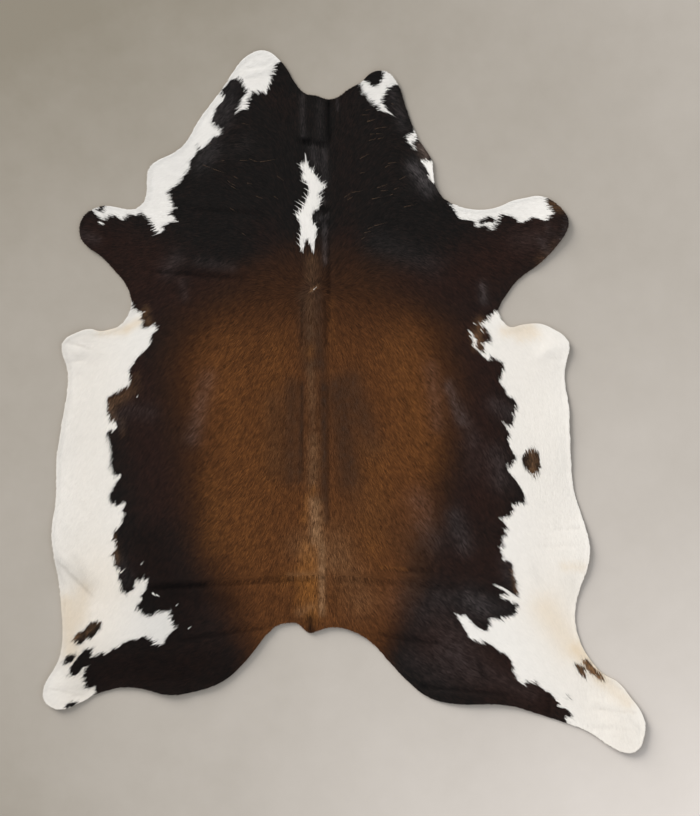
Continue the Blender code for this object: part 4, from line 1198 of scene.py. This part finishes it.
def grid_points():
    """Points of a square grid that lie well inside the outline."""
    x, y = np.meshgrid(
        np.arange(hide_low.x, hide_high.x, GRID), np.arange(hide_low.y, hide_high.y, GRID)
    )
    x, y = x.ravel(), y.ravel()
    keep = read_chart(edge_chart, x, y) > EDGE_ROOM
    return np.column_stack([x[keep], y[keep]])


def cut_leather():
    """The open lower side of the hide, as a new object."""
    points = np.vstack([outline, grid_points()])
    count = len(outline)
    rim = [(i, (i + 1) % count) for i in range(count)]
    flat, _, faces, *_ = geometry.delaunay_2d_cdt([Vector(p) for p in points], rim, [], 1, WELD)
    flat = np.array(flat)
    height = np.maximum(read_chart(lower_height, flat[:, 0], flat[:, 1]), 0.0)
    mesh = bpy.data.meshes.new("hide_skin")
    mesh.from_pydata(np.column_stack([flat, height]).tolist(), [], faces)
    sheet = bpy.data.objects.new("hide_skin", mesh)
    bpy.context.scene.collection.objects.link(sheet)
    return sheet


skin = cut_leather()
print("lower side:", len(skin.data.vertices), "points,", len(skin.data.polygons), "faces")

# %% Thicken the leather
MOST_LEATHER = 8.0 * MM  # the modifier's own thickness, of which each point gets a share
LEAST_SHARE = 0.01  # of that thickness, at any point
SMOOTH_ANGLE = math.radians(40)


def face_up(sheet):
    """Turn every face of an open flat sheet upward."""
    turned = bmesh.new()
    turned.from_mesh(sheet.data)
    bmesh.ops.recalc_face_normals(turned, faces=turned.faces)
    turned.faces.ensure_lookup_table()
    if turned.faces[0].normal.z < 0:
        bmesh.ops.reverse_faces(turned, faces=turned.faces)
    turned.to_mesh(sheet.data)
    turned.free()


def thicken(sheet):
    """Give the sheet its varying thickness, upward."""
    places = np.array([vertex.co for vertex in sheet.data.vertices])
    depth = leather_top(places[:, 0], places[:, 1]) - places[:, 2]
    group = sheet.vertex_groups.new(name="thickness")
    for index, share in enumerate(np.clip(depth / MOST_LEATHER, LEAST_SHARE, 1)):
        group.add([index], float(share), "REPLACE")
    bpy.ops.object.select_all(action="DESELECT")
    sheet.select_set(True)
    bpy.context.view_layer.objects.active = sheet
    wall = sheet.modifiers.new("thickness", "SOLIDIFY")
    wall.thickness = MOST_LEATHER
    wall.offset = 1.0
    wall.vertex_group = "thickness"
    bpy.ops.object.modifier_apply(modifier=wall.name)
    bpy.ops.object.shade_smooth_by_angle(angle=SMOOTH_ANGLE)


face_up(skin)
thicken(skin)
print("leather faces:", len(skin.data.polygons))

# %% [markdown]
# ## Charts onto meshes
# The finish reads its numbers from the mesh, so each chart becomes an attribute with one number for
# each vertex. Each mesh also gets a flat map, onto which its colours can be baked. Blender could unwrap
# the mesh by itself, but a view from above is already flat. It carries the leather's two sides next to
# each other, and the thin rim is unrolled outward so that no face on the map is without width.

# %% Attributes and maps
MAP_NAME = "OFBake"


def store(mesh, name, values):
    """Keep one number for each vertex."""
    layer = mesh.attributes.new(name, "FLOAT", "POINT")
    layer.data.foreach_set("value", np.asarray(values, np.float32))


def corner_numbers(mesh):
    """For each face corner: its vertex, and the face that it belongs to."""
    vertex = np.empty(len(mesh.loops), np.int32)
    mesh.loops.foreach_get("vertex_index", vertex)
    total = np.empty(len(mesh.polygons), np.int32)
    mesh.polygons.foreach_get("loop_total", total)
    return vertex, np.repeat(np.arange(len(mesh.polygons)), total)


def many(collection, name, width):
    """One vector for each item of a mesh's collection, as rows of an array."""
    values = np.empty(len(collection) * width, np.float32)
    collection.foreach_get(name, values)
    return values.reshape(-1, width)


def write_map(mesh, u, v):
    """A new map whose corners lie at u, v."""
    layer = mesh.uv_layers.new(name=MAP_NAME)
    layer.data.foreach_set("uv", np.column_stack([u, v]).astype(np.float32).ravel())


print("name of the maps:", MAP_NAME)

# %% Dress the leather
MAP_GAP = 0.02  # share of the map between its two halves
MAP_EDGE = 5 * MM  # from the map's edge to the hide
SIDEWAYS = 0.5  # a face whose normal rises or falls less than this belongs to the rim
SKIN_TONE = 0.45  # of the hair side under the locks


def dress_leather(sheet):
    """Materials, attributes and the map of the leather."""
    mesh = sheet.data
    places = many(mesh.vertices, "co", 3)
    for name, chart in charts.items():
        store(mesh, name, read_chart(chart, places[:, 0], places[:, 1]))
    store(mesh, "tone", np.full(len(places), SKIN_TONE))
    store(mesh, "tan", np.zeros(len(places)))

    normals = many(mesh.polygons, "normal", 3)
    upper = normals[:, 2] > SIDEWAYS
    rim = np.abs(normals[:, 2]) <= SIDEWAYS
    mesh.materials.append(coat_material)
    mesh.materials.append(suede_material)
    mesh.polygons.foreach_set("material_index", (~upper).astype(np.int32))

    vertex, face = corner_numbers(mesh)
    x, y, z = places[vertex].T
    lift = np.where(rim[face], leather_top(x, y) + MM - z, 0.0)
    x, y = x + normals[face, 0] * lift, y + normals[face, 1] * lift
    size = 2 * (hide_high.y - hide_low.y) * (1 + MAP_GAP)
    u = (x - hide_low.x + MAP_EDGE) / size + np.where(upper[face], 0.0, 0.5)
    write_map(mesh, u, (y - hide_low.y + MAP_EDGE) / size)


dress_leather(skin)
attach(skin, "root")
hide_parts("hide")
print("attributes:", ", ".join(charts))

# %% [markdown]
# ## The coat
# Short cow hair lies in small pointed locks that overlap like thatch. Blender's hair curves
# could grow single hairs, but as a mesh they would be far too heavy. One lock is modelled
# instead, as a thin spike with three sides: a low ridge on top, a flat base, its blunt end in
# the leather and its tip a little above it. Nearly two hundred thousand of them cover the hide,
# a few millimetres apart, so they are made together as arrays. Neighbours lean towards a
# shared tip, which gives the coat its tufts.

# %% Plant the locks
LOCK_SPACING = 3.86 * MM
TUFT_SPACING = 12 * MM
ROOT_ROOM = 0.6 * MM  # from the trimmed edge to the nearest root
TUFT_TURN = math.radians(7)  # from the charted lie, as a standard deviation
TUFT_TONE = 0.13  # how far tufts differ in tone, either way
COLOUR_SHIFT = 2 * MM  # how far a tuft's colour is carried along its lie, either way


def scattered(spacing):
    """Places on the hide, a spacing apart on average, each moved a little at random."""
    x, y = np.meshgrid(
        np.arange(hide_low.x, hide_high.x, spacing), np.arange(hide_low.y, hide_high.y, spacing)
    )
    x = x.ravel() + random.uniform(-0.5, 0.5, x.size) * spacing
    y = y.ravel() + random.uniform(-0.5, 0.5, y.size) * spacing
    keep = read_chart(edge_chart, x, y) > ROOT_ROOM
    return np.column_stack([x[keep], y[keep]])


def lie_at(places, turn):
    """The unit direction in which hair lies at each place, turned by an angle."""
    x = read_chart(flow_x, *places.T)
    y = read_chart(flow_y, *places.T)
    heading = np.arctan2(x, y) + turn
    return np.column_stack([np.sin(heading), np.cos(heading)])


def nearest_of(centres, places):
    """For each place, the number of the nearest centre."""
    finder = kdtree.KDTree(len(centres))
    for number, (x, y) in enumerate(centres):
        finder.insert((x, y, 0), number)
    finder.balance()
    return np.array([finder.find((x, y, 0))[1] for x, y in places])


roots = scattered(LOCK_SPACING)
tufts = scattered(TUFT_SPACING)
tuft_lie = lie_at(tufts, random.normal(0, TUFT_TURN, len(tufts)))
tuft_tone = random.uniform(-TUFT_TONE, TUFT_TONE, len(tufts))
tuft_shift = random.uniform(-COLOUR_SHIFT, COLOUR_SHIFT, len(tufts))
tuft_of = nearest_of(tufts, roots)
print("locks:", len(roots), " tufts:", len(tufts))

# %% Lay the locks down
LOCK_LENGTH = 19 * MM
LENGTH_RANGE = (0.7, 1.25)  # shortest and longest, as shares of the length
OWN_TURN = math.radians(7)  # the same for each lock
TUFT_PULL = 0.3  # how far a tip leans towards its tuft's tip
OVERHANG = (0.6 * MM, 3.8 * MM)  # how far a tip may pass the trimmed edge, least and most
TRIMS = 8  # how often a lock that reaches too far may be trimmed
KEPT_LENGTH = 0.8  # what one trim leaves of a lock that reaches too far


def trimmed_lengths(start, lie, length):
    """Shorten each lock until its tip stays near the trimmed edge."""
    overhang = random.uniform(*OVERHANG, len(start))
    for _ in range(TRIMS):
        tip = start + lie * length[:, None]
        over = read_chart(edge_chart, *tip.T) < -overhang
        length = np.where(over, length * KEPT_LENGTH, length)
    return length


own_lie = lie_at(roots, random.normal(0, OWN_TURN, len(roots)))
lock_length = LOCK_LENGTH * random.uniform(*LENGTH_RANGE, len(roots))
tips = roots + own_lie * lock_length[:, None]
shared_tips = tufts[tuft_of] + tuft_lie[tuft_of] * LOCK_LENGTH
tips += (shared_tips - tips) * TUFT_PULL
way = tips - roots
lock_length = np.linalg.norm(way, axis=1)
lie = way / lock_length[:, None]
lock_length = trimmed_lengths(roots, lie, lock_length)
tips = roots + lie * lock_length[:, None]
print("mean lock, millimetres:", round(lock_length.mean() / MM, 1))

# %% Shape the locks
LOCK_WIDTH = 3.3 * MM
WIDTH_RANGE = (0.75, 1.2)  # narrowest and widest, as shares of the width
LOCK_RIDGE = 0.12 * MM
LOCK_ROLL = 0.03 * MM  # about how far one side is raised and the other lowered
ROOT_DEPTH = 0.06 * MM  # how far the blunt end is sunk into the leather
TIP_RISE = (0.15 * MM, 0.65 * MM)  # the tips' least and greatest height above the skin
# A lock has four corners: 0 and 1 beside the root, 2 on the ridge above it, 3 at the tip.
# Its four faces are the two slopes, the base and the blunt end.
LOCK_FACES = np.array([(0, 2, 3), (1, 3, 2), (0, 3, 1), (0, 1, 2)])
RIDGE_CORNER = 2
BLUNT_FACE = 3

width = LOCK_WIDTH * random.uniform(*WIDTH_RANGE, len(roots))
beside = np.column_stack([-lie[:, 1], lie[:, 0]]) * width[:, None] / 2
roll = random.normal(0, LOCK_ROLL, len(roots))
ground = leather_top(*roots.T) - ROOT_DEPTH
rise = random.uniform(*TIP_RISE, len(roots))
corners = np.stack(
    [
        np.column_stack([roots + beside, ground + roll]),
        np.column_stack([roots - beside, ground - roll]),
        np.column_stack([roots, ground + ROOT_DEPTH + LOCK_RIDGE]),
        np.column_stack([tips, leather_top(*tips.T) + rise]),
    ],
    axis=1,
)
print("lock corners:", corners.shape)

# %% [markdown]
# ## Colour of each lock
# A lock has one colour from end to end, as a hair has. It could take the colour at its root,
# but a lock is widest there and narrows to its tip, so the part of it that shows lies a little
# before its middle. The colour is read from the charts at that place. The place is then moved
# along the lie at random, a little with the tuft and more for each lock, so that white and
# dark reach into each other in points.

# %% Colour the locks
SHOWN = 0.4  # the share of a lock's length, from its root, where its colour is read
OWN_SHIFT = 6 * MM  # how far one lock's colour is carried along its lie, either way
OWN_TONE = 0.28  # how far locks differ in tone, as a standard deviation

own_shift = random.uniform(-OWN_SHIFT, OWN_SHIFT, len(roots))
sample = roots + lie * (lock_length * SHOWN + tuft_shift[tuft_of] + own_shift)[:, None]
lock_values = {name: read_chart(chart, *sample.T) for name, chart in charts.items()}
tone = 0.5 + tuft_tone[tuft_of] + random.normal(0, OWN_TONE, len(roots))
lock_values["tone"] = np.clip(tone, 0, 1)
lock_values["tan"] = np.zeros(len(roots))
print("white locks:", int((lock_values["white"] > 0).sum()))

# %% [markdown]
# ## Single hairs
# A few thin hairs of another colour lie across the dark coat: white ones near the patches and along the
# blaze, tan ones on the neck and in the whorl. Chance would put them anywhere, so they are listed one
# by one. They are locks too, thinner and a little higher.

# %% White single hairs
# Columns: start across, start along, end across, end along, width (centimetres).
WHITE_HAIRS = (
    (-62.9, -62.7, -61.7, -64, 0.72), (-61.7, -63.3, -60.4, -64.1, 0.52),
    (-55.2, -67.1, -54.2, -66.1, 0.26), (-73.4, -56.3, -71.6, -54.6, 0.39),
    (-66.7, -53.6, -65.7, -52.3, 0.26), (-68, 1.3, -67.5, 2.3, 0.23),
    (-51.2, -74.6, -49.9, -73.5, 0.26), (42.3, 25.8, 43.9, 24.8, 0.20), (44.7, 23.8, 46.1, 22, 0.26),
    (-80.4, 58.9, -78.8, 57.6, 0.46), (-13.2, 76.6, -15.8, 78.3, 0.33), (-12.6, 74.9, -15, 77, 0.33),
    (-12.6, 73.1, -14.6, 75.4, 0.33), (-11.9, 72.4, -14.7, 74.2, 0.33),
    (-11.5, 70.8, -14.8, 72.7, 0.33), (-11.2, 68.8, -13.4, 70.1, 0.33),
    (-11.6, 66.5, -13.5, 68.8, 0.33), (-11.8, 65.8, -14, 67.5, 0.33), (-12.6, 64.4, -15.2, 66.3, 0.33),
    (-13, 63.9, -16.2, 65.8, 0.33), (-13.6, 62.5, -16.3, 64.5, 0.33), (-14.2, 61.2, -16.8, 63.1, 0.33),
    (-14.3, 60.3, -16.9, 61.7, 0.33), (-14, 58, -15.9, 60.1, 0.33), (-13.5, 53.5, -15.7, 55.5, 0.33),
    (-13.8, 52.2, -15.8, 54, 0.33), (-14, 50.5, -15.8, 52.4, 0.33), (-11.1, 73.3, -9.4, 76.5, 0.33),
    (-9.8, 72.3, -8.3, 75, 0.33), (-9.3, 71.8, -7.4, 74.2, 0.33), (-8.9, 70.7, -5.8, 72.7, 0.33),
    (-8.5, 69.7, -5.1, 72.1, 0.33), (-8.6, 68.8, -5.3, 70.6, 0.33), (-9.2, 66.8, -6.3, 68.8, 0.33),
    (-9.2, 65.5, -6.1, 67.5, 0.33), (-9.6, 64.2, -6.6, 65.9, 0.33), (-9.5, 63.1, -6.9, 65, 0.33),
    (-12.5, 77.4, -12.9, 81.9, 0.33), (-12.3, 76.2, -11.5, 79.2, 0.33), (-11, 56.7, -8.8, 59.1, 0.33),
    (-10, 55.1, -8.1, 57.3, 0.33), (-9.9, 52.6, -8.6, 55.2, 0.33), (-10.6, 74.9, -9.6, 77.6, 0.33),
    (-13.4, 51, -14.7, 48.9, 0.33), (-13.2, 51.5, -13.5, 48.7, 0.33), (-10.4, 50.9, -10, 48.1, 0.33),
    (-10.1, 36.6, -8.8, 37.8, 0.14),
)
print("white hairs:", len(WHITE_HAIRS))

# %% Tan single hairs
# Columns: start across, start along, end across, end along (centimetres).
TAN_HAIRS = (
    (7.5, 91.9, 10.8, 92.7), (7.5, 91.7, 9.5, 92.2), (10.1, 89.4, 12.7, 90), (12.4, 89.9, 14.4, 90),
    (8.5, 87.7, 10.5, 87.8), (10.5, 87.8, 12.7, 87.8), (8.2, 85.6, 10.8, 86.3),
    (11.1, 86.1, 13.7, 86.9), (18.2, 72.8, 19.5, 73.5), (19.1, 73.3, 20.8, 74.3),
    (10.8, 70.1, 12.7, 70.7), (12.4, 70.6, 14.4, 71.3), (12.1, 69.1, 14.7, 69.3),
    (15, 67.6, 16.4, 68.2), (15.2, 67.7, 16.4, 68.1), (16.4, 69.6, 18, 70.2), (0, 66.9, 2.6, 68.7),
    (1.1, 66.1, 3.1, 67.4), (2.6, 68.6, 6.5, 69.2), (7.8, 56.6, 9.8, 57.6), (9.8, 57.6, 14.4, 58.8),
    (6.5, 55.3, 9.1, 55.9), (5.7, 53.2, 7.3, 54.3), (7.2, 95.5, 8.3, 95.8), (5.9, 94, 8.5, 94),
    (13.4, 76.8, 15.4, 77.8), (14.4, 78.1, 18, 78.6), (5.2, 74.9, 7, 75.2), (15.5, 97.9, 16.7, 97),
    (19.6, 63.8, 24.2, 64.8), (9.1, 66.4, 13.1, 67.3), (5.2, 79.6, 8.5, 81.5),
    (-33.5, 91.4, -31.2, 90.6), (-31.1, 79.6, -28.9, 78.8), (-29.6, 78.9, -27.6, 78.6),
    (-27.6, 78.6, -22, 79.5), (-34.2, 79.1, -31.2, 79), (-46.3, 77.6, -43, 76.3),
    (-43, 76.3, -38.8, 74.8), (-38.4, 72.5, -36.8, 71.4), (-36.8, 71.4, -35.3, 70.5),
    (-37.1, 70.7, -35, 69.4), (-36.1, 73.8, -34.7, 73), (-31.9, 71.7, -29.9, 71.2),
    (-22, 74, -19.6, 72.3), (-39.4, 79.1, -40.7, 78.8), (-23, 67.3, -21.4, 66.3),
    (-28.9, 67.4, -26.3, 66.4), (-37.5, 63.5, -34.8, 61.8), (-43.7, 84.7, -44.7, 84.2),
    (-33.5, 55.3, -32.2, 54.3), (-10.2, 36.4, -8.8, 37.8), (-10.4, 36.1, -9, 37.5),
    (-10.5, 35.8, -9.4, 37), (-10, 36.3, -8.8, 37.4), (-10.9, 36.7, -9.9, 35.9),
    (-11.3, 36.8, -10.1, 36.5), (-10.7, 35.1, -10.3, 36.6), (-11.1, 35.7, -10.2, 36.6),
)
print("tan hairs:", len(TAN_HAIRS))

# %% Add the single hairs
TAN_WIDTH = 0.8 * MM
HAIR_HEIGHT = 0.7 * MM  # of a single hair above the skin
HAIR_TONE = 0.6
TAN_SHARE = 0.8  # of the tan colour, over the coat's own


def single_hairs(starts, ends, widths):
    """The corners of locks that lie from start to end."""
    way = ends - starts
    side = np.column_stack([-way[:, 1], way[:, 0]]) / np.linalg.norm(way, axis=1)[:, None]
    side *= np.array(widths)[:, None] / 2
    base = leather_top(*starts.T) + HAIR_HEIGHT - LOCK_RIDGE
    point = leather_top(*ends.T) + HAIR_HEIGHT
    return np.stack(
        [
            np.column_stack([starts + side, base]),
            np.column_stack([starts - side, base]),
            np.column_stack([starts, base + 2 * LOCK_RIDGE]),
            np.column_stack([ends, point]),
        ],
        axis=1,
    )


def add_hairs(table, widths, whiteness, tan):
    """Append single hairs to the locks, with their distance into white and share of tan."""
    global roots, lie, corners
    starts, ends = in_metres(table)[:, 0:2], in_metres(table)[:, 2:4]
    way = ends - starts
    roots = np.vstack([roots, starts])
    lie = np.vstack([lie, way / np.linalg.norm(way, axis=1)[:, None]])
    corners = np.concatenate([corners, single_hairs(starts, ends, widths)])
    own = {name: read_chart(chart, *starts.T) for name, chart in charts.items()}
    own["tone"] = np.full(len(table), HAIR_TONE)
    own["white"] = np.full(len(table), whiteness)
    own["tan"] = np.full(len(table), tan)
    for name in lock_values:
        lock_values[name] = np.concatenate([lock_values[name], own[name]])


add_hairs(WHITE_HAIRS, in_metres(WHITE_HAIRS)[:, 4], REACH, 0.0)
add_hairs(TAN_HAIRS, np.full(len(TAN_HAIRS), TAN_WIDTH), -REACH, TAN_SHARE)
print("single hairs:", len(WHITE_HAIRS) + len(TAN_HAIRS))

# %% [markdown]
# ## Four coat pieces
# All locks in one mesh would be too heavy, and one object for each lock far slower. So they
# are split into four pieces, neck and rump, left and right, along lines that leave as many
# locks on either side. Each piece is one joined mesh with its own flat map.

# %% A map for the locks
BACK_SPREAD = 1.0 * MM  # unrolls a lock's blunt end on the map
MAP_BORDER = 0.002  # share of the map that stays empty along its edges


def lock_map(mesh, centre, way):
    """The flat map of a piece's locks, seen from above."""
    places = many(mesh.vertices, "co", 3)[:, :2]
    vertex, face = corner_numbers(mesh)
    at = places[vertex]
    blunt_ridge = (face % 4 == BLUNT_FACE) & (vertex % 4 == RIDGE_CORNER)
    lock = vertex // 4
    at = np.where(blunt_ridge[:, None], centre[lock] - way[lock] * BACK_SPREAD, at)
    low, high = at.min(axis=0), at.max(axis=0)
    at = (at - low) / (high - low).max() * (1 - 2 * MAP_BORDER) + MAP_BORDER
    write_map(mesh, at[:, 0], at[:, 1])


print("a blunt end's width on the map, millimetres:", BACK_SPREAD / MM)

# %% Join the locks


def join_locks(name, chosen):
    """One mesh of all the chosen locks."""
    count = int(chosen.sum())
    faces = (np.arange(count)[:, None, None] * 4 + LOCK_FACES).reshape(-1)
    mesh = bpy.data.meshes.new(name)
    mesh.vertices.add(count * 4)
    mesh.vertices.foreach_set("co", corners[chosen].astype(np.float32).ravel())
    mesh.loops.add(len(faces))
    mesh.loops.foreach_set("vertex_index", faces.astype(np.int32))
    mesh.polygons.add(count * 4)
    mesh.polygons.foreach_set("loop_start", np.arange(0, len(faces), 3, dtype=np.int32))
    mesh.update(calc_edges=True)
    mesh.shade_flat()
    for key, values in lock_values.items():
        store(mesh, key, np.repeat(values[chosen], 4))
    lock_map(mesh, roots[chosen], lie[chosen])
    mesh.materials.append(coat_material)
    piece = bpy.data.objects.new(name, mesh)
    bpy.context.scene.collection.objects.link(piece)
    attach(piece, "root")
    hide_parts("hide")
    print(name, "triangles:", len(mesh.polygons))
    return piece


halfway = np.median(roots[:, 1])
for end, on_end in (("neck", roots[:, 1] >= halfway), ("rump", roots[:, 1] < halfway)):
    middle = np.median(roots[on_end, 0])
    join_locks(f"coat_{end}_left", on_end & (roots[:, 0] < middle))
    join_locks(f"coat_{end}_right", on_end & (roots[:, 0] >= middle))
